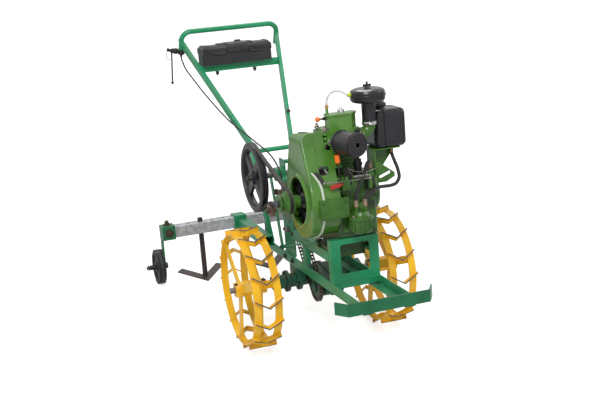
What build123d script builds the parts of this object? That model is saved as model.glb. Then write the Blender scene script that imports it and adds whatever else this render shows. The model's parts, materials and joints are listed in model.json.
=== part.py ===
from build123d import *
import os
from math import asin, atan2, ceil, cos, degrees, hypot, radians, sin, sqrt, tan

os.makedirs("parts", exist_ok=True)

# A walk-behind mini tractor with an open single-cylinder engine, in millimetres.
# It is drawn with its rails level and its wheel axle on the X axis through the
# origin, +Y to the handles and +Z up. At the end it is leaned back by NOSE_UP and
# lifted, which is how it stands on its cage wheels and its two small depth wheels.

# Stance
NOSE_UP = 12.0
SEAT = 0.3
RUNNING = 0.05

# Cage wheels
LUG_TIP_RADIUS = 258.0
LUG_HEIGHT = 20.0
LUG_THICKNESS = 6.0
LUG_COUNT = 16
LUG_LEAD = 38.0
HOOP_THICKNESS = 6.0
HOOP_WIDTH = 31.0
HOOP_OUTER_X = 347.0
HOOP_INNER_X = 257.0
SPOKE_WIDTH = 34.0
SPOKE_THICKNESS = 8.0
SPOKE_ANGLES = (60.0, 180.0, 300.0)
HUB_SIDE = 50.0
HUB_ROUND = 5.0
HUB_INNER_X = 236.0
HUB_OUTER_X = 372.0
AXLE_DIAMETER = 30.0
AXLE_STUB_DIAMETER = 24.0
AXLE_END_X = 392.0

# Rails and bumper
FRAME_HALF = 105.0
ANGLE_SIDE = 40.0
ANGLE_THICKNESS = 5.0
RAIL_TOP = 105.0
RAIL_FRONT = -769.0
RAIL_REAR = 330.0
BUMPER_WIDTH = 332.0
BUMPER_HEIGHT = 48.0
BUMPER_THICKNESS = 6.0
BUMPER_BOTTOM = 72.0
WING_OUT = 34.0
WING_BACK = 54.0

# Front portal and engine bearers
PORTAL_FRONT = -463.0
PORTAL_TOP = 277.0
PORTAL_INSET = 4.0
PORTAL_HALF = FRAME_HALF - PORTAL_INSET
PORTAL_POST = 40.0
PORTAL_DEPTH = 34.0
PORTAL_TOP_BAR = 22.0
PORTAL_LOWER_PLATE = 58.0
PORTAL_LOWER_BOTTOM = 79.0
BEARER_TOP = 225.0
UPRIGHT_Y = -148.0

# Drawbar and toolbar
TOOLBAR_SIDE = 55.0
TOOLBAR_WALL = 4.0
TOOLBAR_Y = 661.0
TOOLBAR_Z = 127.0
ARM_WIDTH = 50.0
ARM_HEIGHT = 45.0
ARM_WALL = 4.0
ARM_FRONT = 240.0
COLLAR_WIDTH = 60.0
COLLAR_WALL = 6.0
COLLAR_X = 140.0
HOLE_PITCH = 55.0
HOLE_DIAMETER = 14.0
TYNE_SIDE = 20.0
TYNE_XS = (-330.0, 0.0, 330.0)
TYNE_TOP = 172.0
SWEEP_NOSE = 52.0
SWEEP_HALF = 115.0
SWEEP_BACK = 136.0
SWEEP_CHORD = 38.0
SWEEP_THICKNESS = 5.0
SWEEP_LIFT = 2.0

# Depth wheels
DEPTH_RADIUS = 80.0
DEPTH_WIDTH = 34.0
DEPTH_TREAD = 14.0
DEPTH_DISH = 8.0
DEPTH_BACK = 15.0
DEPTH_PIN = 8.0
DEPTH_PIN_REACH = 36.0
DEPTH_COLLAR = 12.0
DEPTH_HUB = 26.0
BRACKET_INNER = 460.0
BRACKET_OUTER = 522.0
BRACKET_WALL = 6.0
STEM_WIDTH = 30.0
STEM_THICKNESS = 8.0
BOLT_RADIUS = 9.0
WHEEL_GAP = 5.5

# Handle
HANDLE_FOOT_Y = 300.0
HANDLE_FOOT_X = 96.0
HANDLE_BEND_Y = 495.0
HANDLE_BEND_Z = 520.0
HANDLE_BEND_X = 100.0
HANDLE_GRIP_X = 246.0
HANDLE_GRIP_Y = 1025.0
HANDLE_GRIP_Z = 968.0
HANDLE_DEPTH = 32.0
HANDLE_THICKNESS = 16.0
BOW_DIAMETER = 25.0
BOW_RISE_Y = -21.0
BOW_RISE_Z = 50.0
BOW_CORNER = 48.0
BOW_TAIL = 58.0
CROSS_FRACTION = 0.723
CROSS_HEIGHT = 34.0
CROSS_DEPTH = 20.0
CROSS_WALL = 5.0
LOWER_TUBE_DIAMETER = 22.0
LOWER_TUBE_DROP = 34.0
BOX_LENGTH = 345.0
BOX_X = -22.0
BOX_CORNER = 12.0
BOX_BOLT_X = 95.0
BOX_BOLT_RADIUS = 4.0
BOX_BOLT_BACK = 2.0
BOX_DEPTH = 105.0
BOX_BASE_HEIGHT = 52.0
BOX_LID_HEIGHT = 38.0
LEVER_OUT = 40.0
LEVER_BACK = 34.0
LEVER_DROP = 160.0
BOX_WALL = 3.0
LID_PANEL = 6.0
KNUCKLE_RADIUS = 5.0
HINGE_X = 60.0
HINGE_LENGTH = 60.0
LID_GAP = 0.4
LID_PIN = 4.0

# Engine
CRANK_Y = -356.0
CRANK_Z = 430.0
BLOCK_LEFT = -58.0
BLOCK_RIGHT = 112.0
BLOCK_FRONT = -456.0
BLOCK_REAR = -262.0
BLOCK_TOP = 520.0
CASTING_ROUND = 22.0
FOOT_HEIGHT = 14.0
SUMP_GAP = 3.0
COVER_THICKNESS = 6.0
COVER_RADIUS = 92.0
COVER_DEPTH = 24.0
STRAP_LEFT = -150.0
STRAP_RIGHT = -32.0
STRAP_BOTTOM = 376.0
STRAP_TOP = 455.0
GOVERNOR_X = -50.0
GOVERNOR_REACH = 56.0
STOP_LEVER = 50.0
KNOB_RISE = 72.0
PUMP_X = 84.0
PUMP_OUT = 8.0
PUMP_RISE = 22.0
CYLINDER_X = 6.0
CYLINDER_Y = -356.0
CYLINDER_RADIUS = 48.0
FIN_RADIUS = 60.0
FIN_COUNT = 9
FIN_THICKNESS = 4.0
HEAD_BOTTOM = 648.0
HEAD_TOP = 700.0
HEAD_LEFT = -80.0
HEAD_HALF = 62.0
ROCKER_TOP = 760.0
ROCKER_LEFT = -52.0
ROCKER_RIGHT = 68.0
ROCKER_FRONT = -418.0
ROCKER_REAR = -362.0
ROCKER_COVER = 8.0
ROCKER_CHAMFER = 28.0
BREATHER_RISE = 22.0
SHROUD_FRONT = -176.0
SHROUD_RADIUS = 150.0
SHROUD_HOLE = 92.0
SHROUD_WALL = 4.0
SHROUD_FRONT_DEPTH = 45.0
SHROUD_FLANGE = 4.0
SHROUD_EDGE = 9.0
SHOULDER_RADIUS = 50.0
LIP_WIDTH = 18.0
LIP_DEPTH = 8.0
NECK_REAR_FOOT = -203.0
NECK_REAR = -268.0
NECK_FRONT = -403.0
NECK_FRONT_FOOT = -497.0
NECK_FOOT_RISE = 50.0
SLOT_LEFT = -128.0
SLOT_RIGHT = -84.0
SLOT_BOTTOM = 540.0
SLOT_TOP = 575.0
BAFFLE_BOTTOM = 560.0
BAFFLE_TOP = 640.0
BAFFLE_LENGTH = 28.0
SHROUD_NECK_TOP = 699.0
FLYWHEEL_RADIUS = 128.0
FLYWHEEL_DISH = 95.0
FLYWHEEL_FRONT = -158.0
BLADE_DEPTH = 22.0
BLADE_ROOT = 52.0
BLADE_COUNT = 16
CRANK_RADIUS = 14.0
FLYWHEEL_BACK = -84.0

# Belt drive
BELT_X = -222.0
BELT_WIDTH = 15.0
BELT_DEPTH = 10.0
LAYSHAFT_Y = 70.0
LAYSHAFT_Z = 455.0
BIG_PULLEY_RADIUS = 149.0
BIG_PULLEY_WIDTH = 32.0
BIG_PULLEY_RIM = 19.0
PULLEY_BOSS = 30.0
PULLEY_WEB = 14.0
PULLEY_ROUND = 10.0
SPOKE_ROOT = 20.0
SPOKE_TIP = 14.0
ENGINE_PULLEY_RADIUS = 47.0
PULLEY_OUT = 42.0
PULLEY_STEP = 12.0
SHAFT_RADIUS = 12.5
IDLER_RADIUS = 27.0
IDLER_Y = -128.0
IDLER_Z = 352.0

# Clutch cable, its stop on the stand, and the control arm beside it
STOP_X = -136.0
STOP_Y = -30.0
STOP_Z = 452.0
STOP_THICKNESS = 6.0
CABLE_RADIUS = 3.5
PIVOT_Y = 45.0
PIVOT_Z = 385.0
ARM_X = -118.0
ARM_FOOT_Y = 83.0
ARM_FOOT_Z = 130.0
ARM_HEAD_Y = 176.0
ARM_HEAD_Z = 447.0
ROD_RADIUS = 4.0
ROD_END_Y = -326.0
ROD_END_Z = 247.0

# Chains and gearbox
CHAIN_X = -52.0
CHAIN_WIDTH = 14.0
CHAIN_DEPTH = 11.0
UPPER_CHAIN_X = 30.0
CHAIN_PLATE = 1.8
ROLLER_RADIUS = 5.0
ROLLER_GAP = 0.4
LARGE_TEETH = 23
SMALL_TEETH = 13
LOWER_LINKS = 58
UPPER_LINKS = 48
TOOTH_HEIGHT = 4.5
TOOTH_FLARE = 2.6
SPROCKET_THICKNESS = 8.0
SPROCKET_BOSS = 20.0
STAND_FRONT = -20.0
STAND_REAR = 110.0
CHEEK_HEAD = 34.0
TIE_RISE = 50.0
TIE_RADIUS = 9.0
BOSS_RADIUS = 30.0
BOSS_LENGTH = 34.0
COUNTER_Y = 40.0
COUNTER_Z = 215.0
LOWER_Y = -128.0
LOWER_Z = -6.0
GEARBOX_LEFT = 30.0
GEARBOX_RIGHT = 60.0
GEARBOX_SPLIT = 16.0
GEARBOX_LOBE = 56.0
INPUT_LOBE = 44.0
LOBE_BOSSES = 5
HOUSING_RADIUS = 30.0
HOUSING_FLANGE = 46.0
HOUSING_END = 200.0
HOUSING_FLANGES = (80.0, 134.0, 184.0)

# Fuel, air and exhaust
TANK_LEFT = 154.0
TANK_RIGHT = 290.0
TANK_FRONT = -380.0
TANK_REAR = -250.0
TANK_BOTTOM = 592.0
TANK_TOP = 746.0
TANK_WALL = 2.0
TANK_ROUND = 22.0
TANK_SEAM = 195.0
TANK_UNION_X = 54.0
TANK_UNION_Y = -334.0
BRACKET_HALF = 40.0
CLEANER_X = 118.0
CLEANER_Y = -404.0
CLEANER_RADIUS = 69.0
CLEANER_BOTTOM = 790.0
CLEANER_TOP = 846.0
CLEANER_WALL = 3.0
SPIGOT_RADIUS = 5.0
SPIGOT_REACH = 8.0
SPIGOT_RISE = 8.0
BREATHER_RADIUS = 4.5
INTAKE_RADIUS = 27.0
ELBOW_RADIUS = 24.0
ELBOW_BEND = 30.0
ELBOW_TOP = 705.0
ELBOW_Z = 672.0
MUFFLER_RADIUS = 45.0
MUFFLER_LENGTH = 112.0
MUFFLER_Z = 658.0
MUFFLER_YAW = 14.0
MUFFLER_FRONT = -562.0
MUFFLER_WALL = 3.0
SEAM_INSET = 7.0
SEAM_WIDTH = 5.0
SEAM_HEIGHT = 3.0
TAIL_RADIUS = 9.0
EXHAUST_RADIUS = 16.0
FILTER_X = 14.0
FILTER_Y = -512.0
FILTER_RADIUS = 43.0
FILTER_BOTTOM = 308.0
FILTER_TOP = 392.0
FILTER_RIBS = 12
FILTER_UNIONS = (-17.0, 20.0)
UNION_RISE = 18.0
HOSE_RADIUS = 7.0


def box(x0, x1, y0, y1, z0, z1):
    """A box between two corners."""
    return Pos((x0 + x1) / 2, (y0 + y1) / 2, (z0 + z1) / 2) * Box(x1 - x0, y1 - y0, z1 - z0)


def x_disc(radius, x0, x1, y=0.0, z=0.0):
    """A round solid whose axis runs along X from x0 to x1."""
    return Pos((x0 + x1) / 2, y, z) * Rot(Y=90) * Cylinder(radius, x1 - x0)


def x_prism(points, x0, x1):
    """A closed outline of (y, z) points, extruded along X from x0 to x1."""
    face = make_face(Plane.YZ * Polyline(*points, close=True))
    return Pos(x0, 0, 0) * extrude(face, amount=x1 - x0, dir=(1, 0, 0))


def z_disc(radius, z0, z1, x=0.0, y=0.0):
    """A round solid whose axis stands up from z0 to z1."""
    return Pos(x, y, (z0 + z1) / 2) * Cylinder(radius, z1 - z0)


def x_turned(profile, y=0.0, z=0.0):
    """A solid turned about X from an outline of (x, radius) points."""
    face = make_face(Polyline(*profile, close=True))
    return Pos(0, y, z) * revolve(face, axis=Axis.X)


def z_turned(profile, x=0.0, y=0.0):
    """A solid turned about Z from an outline of (radius, z) points."""
    face = make_face(Plane.XZ * Polyline(*profile, close=True))
    return Pos(x, y, 0) * revolve(face, axis=Axis.Z)


def rod(start, end, radius):
    """A round bar from one point to another."""
    line = Line(start, end)
    return sweep(Plane(origin=start, z_dir=line % 0) * Circle(radius), path=line)


def flat(start, end, width, thickness, side=(1, 0, 0)):
    """A rectangular bar from one point to another, its thickness along side."""
    line = Line(start, end)
    plane = Plane(origin=start, x_dir=side, z_dir=line % 0)
    return sweep(plane * Rectangle(thickness, width), path=line)


def mirror_x(shape):
    return mirror(shape, about=Plane.YZ)


# Where the machine stands: two lugs of each wheel share the weight evenly, so the
# axle is a little lower than a lug's tip is long.
lug_pitch = 360.0 / LUG_COUNT
lug_front = degrees(asin((LUG_LEAD + LUG_THICKNESS / 2) / LUG_TIP_RADIUS))
lug_back = degrees(asin(LUG_THICKNESS / 2 / LUG_TIP_RADIUS))
axle_height = LUG_TIP_RADIUS * cos(radians((lug_pitch - lug_front - lug_back) / 2))
lug_turn = -(lug_pitch + lug_front - lug_back) / 2
machine = Pos(0, 0, axle_height) * Rot(X=-NOSE_UP)

# Where the depth wheels run, beside and behind the toolbar's ends
depth_x = BRACKET_OUTER + WHEEL_GAP + DEPTH_WIDTH / 2
depth_y = TOOLBAR_Y + DEPTH_BACK


def leaned(y, z):
    """Y, and the height over the floor, of a point given with the rails level."""
    tilt = radians(NOSE_UP)
    return (y * cos(tilt) + z * sin(tilt), axle_height - y * sin(tilt) + z * cos(tilt))


def level_z(y, height):
    """The level-rail Z of a point at y that stands this high over the floor."""
    tilt = radians(NOSE_UP)
    return (height - axle_height + y * sin(tilt)) / cos(tilt)


def make_wheel():
    """The left cage wheel: two hoops, V lugs across them, three spokes each and a hub."""
    seat_radius = LUG_TIP_RADIUS - LUG_HEIGHT
    wheel = None
    for x in (-HOOP_OUTER_X, -HOOP_INNER_X):
        hoop = x_disc(seat_radius, x - HOOP_WIDTH / 2, x + HOOP_WIDTH / 2)
        hoop -= x_disc(seat_radius - HOOP_THICKNESS, x - HOOP_WIDTH, x + HOOP_WIDTH)
        wheel = hoop if wheel is None else wheel + hoop
    outer = -HOOP_OUTER_X - HOOP_WIDTH / 2
    inner = -HOOP_INNER_X + HOOP_WIDTH / 2
    middle = (outer + inner) / 2
    half = LUG_THICKNESS / 2
    outline = [(outer, half), (middle, half - LUG_LEAD), (inner, half),
               (inner, -half), (middle, -half - LUG_LEAD), (outer, -half)]
    lug = extrude(make_face(Polyline(*outline, close=True)), amount=LUG_HEIGHT + HOOP_THICKNESS)
    lug = Pos(0, 0, seat_radius - HOOP_THICKNESS) * lug
    lug &= x_disc(LUG_TIP_RADIUS, outer, inner)
    wheel += [Rot(X=lug_turn + index * lug_pitch) * lug for index in range(LUG_COUNT)]
    for angle in SPOKE_ANGLES:
        for x in (-HOOP_OUTER_X, -HOOP_INNER_X):
            spoke = box(x - SPOKE_THICKNESS / 2, x + SPOKE_THICKNESS / 2, -SPOKE_WIDTH / 2,
                        SPOKE_WIDTH / 2, HUB_SIDE / 2 - SPOKE_THICKNESS, seat_radius - HOOP_THICKNESS / 2)
            wheel += Rot(X=angle) * spoke
    hub = box(-HUB_OUTER_X, -HUB_INNER_X, -HUB_SIDE / 2, HUB_SIDE / 2, -HUB_SIDE / 2, HUB_SIDE / 2)
    wheel += fillet(hub.edges().filter_by(Axis.X), HUB_ROUND)
    return wheel - x_disc(AXLE_DIAMETER / 2 + RUNNING, -HUB_OUTER_X - 1, -HUB_INNER_X + 1)


def make_axle():
    """The axle through both hubs, turned down at its ends for a collar and nut."""
    axle = x_disc(AXLE_DIAMETER / 2, -HUB_OUTER_X, HUB_OUTER_X)
    return axle + x_disc(AXLE_STUB_DIAMETER / 2, -AXLE_END_X, AXLE_END_X)


def make_rail():
    """The left rail: an angle with its upright flange outside and its foot inside."""
    outer = -FRAME_HALF
    upright = box(outer, outer + ANGLE_THICKNESS, RAIL_FRONT, RAIL_REAR, RAIL_TOP - ANGLE_SIDE, RAIL_TOP)
    foot = box(outer, outer + ANGLE_SIDE, RAIL_FRONT, RAIL_REAR,
               RAIL_TOP - ANGLE_SIDE, RAIL_TOP - ANGLE_SIDE + ANGLE_THICKNESS)
    return upright + foot


def make_bumper():
    """The bumper plate across the rails' ends, its two wings folded back."""
    half = BUMPER_WIDTH / 2
    front = RAIL_FRONT - BUMPER_THICKNESS
    wing = hypot(WING_OUT, WING_BACK)
    dx = BUMPER_THICKNESS * WING_BACK / wing
    dy = BUMPER_THICKNESS * WING_OUT / wing
    fold = BUMPER_THICKNESS * tan(atan2(WING_BACK, WING_OUT) / 2)
    tip = (half + WING_OUT, front + WING_BACK)
    outline = [(-half, front), (half, front), tip, (tip[0] - dx, tip[1] + dy),
               (half - fold, RAIL_FRONT), (fold - half, RAIL_FRONT),
               (dx - tip[0], tip[1] + dy), (-tip[0], tip[1])]
    plate = extrude(make_face(Polyline(*outline, close=True)), amount=BUMPER_HEIGHT)
    return Pos(0, 0, BUMPER_BOTTOM) * plate


def make_portal():
    """The front portal: two angle posts, a bar over them and a deep plate below."""
    back = PORTAL_FRONT + ANGLE_THICKNESS
    inside = PORTAL_HALF - PORTAL_POST
    lower_top = PORTAL_LOWER_BOTTOM + PORTAL_LOWER_PLATE
    frame = box(-PORTAL_HALF, PORTAL_HALF, PORTAL_FRONT, back, RAIL_TOP, PORTAL_TOP)
    window = box(-inside, inside, PORTAL_FRONT - 1, back + 1, lower_top, PORTAL_TOP - PORTAL_TOP_BAR)
    corners = window.edges().filter_by(Axis.Y)
    frame -= fillet(corners, 9)
    tongue = FRAME_HALF - ANGLE_THICKNESS
    frame += box(-tongue, tongue, PORTAL_FRONT, back, PORTAL_LOWER_BOTTOM, RAIL_TOP)
    for side in (-1, 1):
        x0, x1 = sorted((side * PORTAL_HALF, side * (PORTAL_HALF - ANGLE_THICKNESS)))
        frame += box(x0, x1, PORTAL_FRONT, PORTAL_FRONT + PORTAL_DEPTH, RAIL_TOP, PORTAL_TOP)
    frame += box(-PORTAL_HALF, PORTAL_HALF, PORTAL_FRONT, PORTAL_FRONT + PORTAL_DEPTH,
                 PORTAL_TOP - ANGLE_THICKNESS, PORTAL_TOP)
    return frame


def make_bearer():
    """The left engine bearer, an angle with its shelf inwards, and its upright."""
    front = PORTAL_FRONT + PORTAL_DEPTH
    outer = -PORTAL_HALF
    under = BEARER_TOP - ANGLE_SIDE
    web = box(outer, outer + ANGLE_THICKNESS, front, STAND_FRONT, under, BEARER_TOP)
    shelf = box(outer, outer + ANGLE_SIDE, front, STAND_FRONT, BEARER_TOP - ANGLE_THICKNESS, BEARER_TOP)
    post_front = UPRIGHT_Y - ANGLE_SIDE / 2
    post = box(outer, outer + ANGLE_THICKNESS, post_front, post_front + ANGLE_SIDE, RAIL_TOP, under)
    post += box(outer, outer + ANGLE_SIDE / 2, post_front, post_front + ANGLE_THICKNESS, RAIL_TOP, under)
    return web + shelf + post


def loop_wire(circles, offset):
    """The outline of a belt or chain round circles of (y, z, radius, side).

    Side is 1 for a wheel inside the loop and -1 for an idler outside it.
    """
    spots = [(y, z, radius + side * offset, side) for y, z, radius, side in circles]
    tangents = []
    for index, (ya, za, ra, sa) in enumerate(spots):
        yb, zb, rb, sb = spots[(index + 1) % len(spots)]
        lean = sb * rb - sa * ra
        run = sqrt((yb - ya) ** 2 + (zb - za) ** 2 - lean ** 2)
        heading = atan2(zb - za, yb - ya) - atan2(lean, run)
        normal = (-sin(heading), cos(heading))
        tangents.append(((ya - normal[0] * sa * ra, za - normal[1] * sa * ra),
                         (yb - normal[0] * sb * rb, zb - normal[1] * sb * rb)))
    edges = []
    for index, (leave, reach) in enumerate(tangents):
        y, z, radius, side = spots[(index + 1) % len(spots)]
        onward = tangents[(index + 1) % len(spots)][0]
        edges.append(Line(leave, reach))
        start = atan2(reach[1] - z, reach[0] - y)
        turned = (atan2(onward[1] - z, onward[0] - y) - start) * side % radians(360)
        half = start + side * turned / 2
        edges.append(ThreePointArc(reach, (y + radius * cos(half), z + radius * sin(half)), onward))
    return Wire(edges)


def loop_band(circles, width, depth, x):
    """A belt or chain of this width and depth round the circles, its middle at x."""
    outer = make_face(Plane.YZ * loop_wire(circles, depth / 2))
    inner = make_face(Plane.YZ * loop_wire(circles, -depth / 2))
    band = extrude(outer, amount=width, dir=(1, 0, 0)) - extrude(inner, amount=width, dir=(1, 0, 0))
    return Pos(x - width / 2, 0, 0) * band


def chain_run(wheels, links):
    """A chain of this many links round two sprockets of (y, z, teeth).

    Gives its pitch, its two circles, the place of each roller and the direction of
    one tooth gap of each sprocket. The pitch is the one that closes the chain.
    """
    (ya, za, ta), (yb, zb, tb) = wheels
    apart = hypot(yb - ya, zb - za)
    pitch = 2 * apart / (links - (ta + tb) / 2)
    for _ in range(20):
        ra = ta * pitch / radians(360)
        rb = tb * pitch / radians(360)
        run = sqrt(apart ** 2 - (rb - ra) ** 2)
        lean = asin((rb - ra) / apart)
        pitch = (2 * run + ra * (radians(180) - 2 * lean) + rb * (radians(180) + 2 * lean)) / links
    heading = atan2(zb - za, yb - ya) - lean
    start = heading - radians(90)
    wrap = radians(180) + 2 * lean
    spots = []
    for index in range(links):
        along = index * pitch
        if along < run:
            spots.append((ya + ra * cos(start) + along * cos(heading),
                          za + ra * sin(start) + along * sin(heading)))
        elif along < run + wrap * rb:
            angle = start + (along - run) / rb
            spots.append((yb + rb * cos(angle), zb + rb * sin(angle)))
        elif along < 2 * run + wrap * rb:
            back = along - run - wrap * rb
            spots.append((yb + rb * cos(start + wrap) + back * cos(heading + wrap),
                          zb + rb * sin(start + wrap) + back * sin(heading + wrap)))
        else:
            angle = start + wrap + (along - 2 * run - wrap * rb) / ra
            spots.append((ya + ra * cos(angle), za + ra * sin(angle)))
    onto = start + (ceil(run / pitch) * pitch - run) / rb
    return pitch, [(ya, za, ra, 1), (yb, zb, rb, 1)], spots, (start, onto)


def make_sprocket(teeth, circle, first, x):
    """A toothed wheel on the circle, with one of its tooth gaps in the direction first."""
    y, z, radius, _ = circle
    mouth = ROLLER_RADIUS + ROLLER_GAP
    gap = Circle(mouth)
    reach = 2 * TOOTH_HEIGHT
    flare = [(0, -mouth), (0, mouth), (reach, mouth + TOOTH_FLARE), (reach, -mouth - TOOTH_FLARE)]
    gap += make_face(Polyline(*flare, close=True))
    blank = Circle(radius + TOOTH_HEIGHT)
    step = 360 / teeth
    blank -= [Rot(Z=degrees(first) + index * step) * Pos(radius, 0) * gap for index in range(teeth)]
    wheel = extrude(Plane.YZ * blank, amount=SPROCKET_THICKNESS, dir=(1, 0, 0))
    return Pos(x - SPROCKET_THICKNESS / 2, y, z) * wheel


def make_chain(run, x):
    """A roller chain, its rollers held between two side bands."""
    _, circles, spots, _ = run
    reach = (CHAIN_WIDTH - CHAIN_PLATE) / 2
    chain = loop_band(circles, CHAIN_PLATE, CHAIN_DEPTH, x - reach)
    chain += loop_band(circles, CHAIN_PLATE, CHAIN_DEPTH, x + reach)
    roller = extrude(Plane.YZ * RegularPolygon(ROLLER_RADIUS, 6), amount=2 * reach, dir=(1, 0, 0))
    return chain + [Pos(x - reach, y, z) * roller for y, z in spots]


def make_stand():
    """The layshaft's stand: two cheeks on the rails, a tie tube and the cable's stop."""
    outer = PORTAL_HALF - ANGLE_THICKNESS
    inner = outer - ANGLE_THICKNESS
    head_top = LAYSHAFT_Z + TIE_RISE + TIE_RADIUS + 4
    outline = [(STAND_FRONT, RAIL_TOP), (STAND_REAR, RAIL_TOP), (STAND_REAR, BEARER_TOP),
               (LAYSHAFT_Y + CHEEK_HEAD, LAYSHAFT_Z - CHEEK_HEAD), (LAYSHAFT_Y + CHEEK_HEAD, head_top),
               (LAYSHAFT_Y - CHEEK_HEAD, head_top), (LAYSHAFT_Y - CHEEK_HEAD, LAYSHAFT_Z - CHEEK_HEAD),
               (STAND_FRONT, BEARER_TOP)]
    cheek = x_prism(outline, -outer, -inner)
    cheek += x_disc(BOSS_RADIUS, -outer - BOSS_LENGTH, -outer, LAYSHAFT_Y, LAYSHAFT_Z)
    for y, z in ((LAYSHAFT_Y, LAYSHAFT_Z), (COUNTER_Y, COUNTER_Z)):
        cheek -= x_disc(SHAFT_RADIUS + RUNNING, -outer - BOSS_LENGTH - 1, -inner + 1, y, z)
    tie = x_disc(TIE_RADIUS, -inner, inner, LAYSHAFT_Y, LAYSHAFT_Z + TIE_RISE)
    stop = box(STOP_X - 8, -outer, STOP_Y - 8, LAYSHAFT_Y - BOSS_RADIUS + 6, STOP_Z - STOP_THICKNESS, STOP_Z)
    stop -= z_disc(2, STOP_Z - STOP_THICKNESS - 1, STOP_Z + 1, STOP_X, STOP_Y)
    return cheek + mirror_x(cheek) + tie + stop


def make_arm():
    """The left drawbar arm, a box beside its rail, with the collar on the toolbar."""
    x1 = -FRAME_HALF
    x0 = x1 - ARM_WIDTH
    low = TOOLBAR_Z - ARM_HEIGHT / 2 - 8
    reach = TOOLBAR_Y - TOOLBAR_SIDE / 2 - COLLAR_WALL
    arm = box(x0, x1, ARM_FRONT, reach, low, low + ARM_HEIGHT)
    arm -= box(x0 + ARM_WALL, x1 - ARM_WALL, ARM_FRONT - 1, reach + 1,
               low + ARM_WALL, low + ARM_HEIGHT - ARM_WALL)
    half = TOOLBAR_SIDE / 2 + COLLAR_WALL
    c0 = -COLLAR_X - COLLAR_WIDTH / 2
    collar = box(c0, c0 + COLLAR_WIDTH, TOOLBAR_Y - half, TOOLBAR_Y + half,
                 TOOLBAR_Z - half, TOOLBAR_Z + half)
    hole = TOOLBAR_SIDE / 2 + RUNNING
    collar -= box(c0 - 1, c0 + COLLAR_WIDTH + 1, TOOLBAR_Y - hole, TOOLBAR_Y + hole,
                  TOOLBAR_Z - hole, TOOLBAR_Z + hole)
    return arm + collar


def make_toolbar():
    """The galvanised square toolbar with its row of tyne holes."""
    half = TOOLBAR_SIDE / 2
    end = BRACKET_OUTER - BRACKET_WALL
    bar = box(-end, end, TOOLBAR_Y - half, TOOLBAR_Y + half, TOOLBAR_Z - half, TOOLBAR_Z + half)
    bar = fillet(bar.edges().filter_by(Axis.X), TOOLBAR_WALL + 1)
    core = half - TOOLBAR_WALL
    bar -= box(-end - 1, end + 1, TOOLBAR_Y - core, TOOLBAR_Y + core, TOOLBAR_Z - core, TOOLBAR_Z + core)
    slot = TYNE_SIDE / 2 + SEAT
    for x in TYNE_XS:
        bar -= box(x - slot, x + slot, TOOLBAR_Y - slot, TOOLBAR_Y + slot,
                   TOOLBAR_Z - half - 1, TOOLBAR_Z + half + 1)
    for index in range(int(BRACKET_INNER / HOLE_PITCH)):
        x = (index + 1) * HOLE_PITCH
        taken = [abs(COLLAR_X - x) - COLLAR_WIDTH / 2] + [abs(tyne - x) - TYNE_SIDE for tyne in TYNE_XS]
        if min(taken) > HOLE_DIAMETER / 2 and x < BRACKET_INNER - HOLE_DIAMETER:
            for side in (-x, x):
                bar -= z_disc(HOLE_DIAMETER / 2, TOOLBAR_Z, TOOLBAR_Z + half + 1, side, TOOLBAR_Y)
    return bar


def make_tynes():
    """The tynes: a square shank through the toolbar with a sweep at its foot."""
    foot = SWEEP_LIFT + SWEEP_THICKNESS
    foot_z = level_z(TOOLBAR_Y, foot)
    foot_y = leaned(TOOLBAR_Y, foot_z)[0]
    half = TYNE_SIDE / 2
    wing = hypot(SWEEP_HALF, SWEEP_BACK)
    along = (SWEEP_HALF / wing, SWEEP_BACK / wing)
    inset = SWEEP_CHORD / along[0]
    tip = (SWEEP_HALF, SWEEP_BACK)
    inner_tip = (tip[0] - SWEEP_CHORD * along[1], tip[1] + SWEEP_CHORD * along[0])
    outline = [(0, 0), tip, inner_tip, (0, inset), (-inner_tip[0], inner_tip[1]), (-tip[0], tip[1])]
    blade = extrude(make_face(Polyline(*outline, close=True)), amount=SWEEP_THICKNESS)
    tynes = None
    for x in TYNE_XS:
        shank = machine * box(x - half, x + half, TOOLBAR_Y - half, TOOLBAR_Y + half, foot_z - 30, TYNE_TOP)
        shank -= box(x - 60, x + 60, foot_y - 60, foot_y + 60, -60, foot)
        tyne = shank + Pos(x, foot_y - SWEEP_NOSE, SWEEP_LIFT) * blade
        tynes = tyne if tynes is None else tynes + tyne
    return tynes


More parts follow.
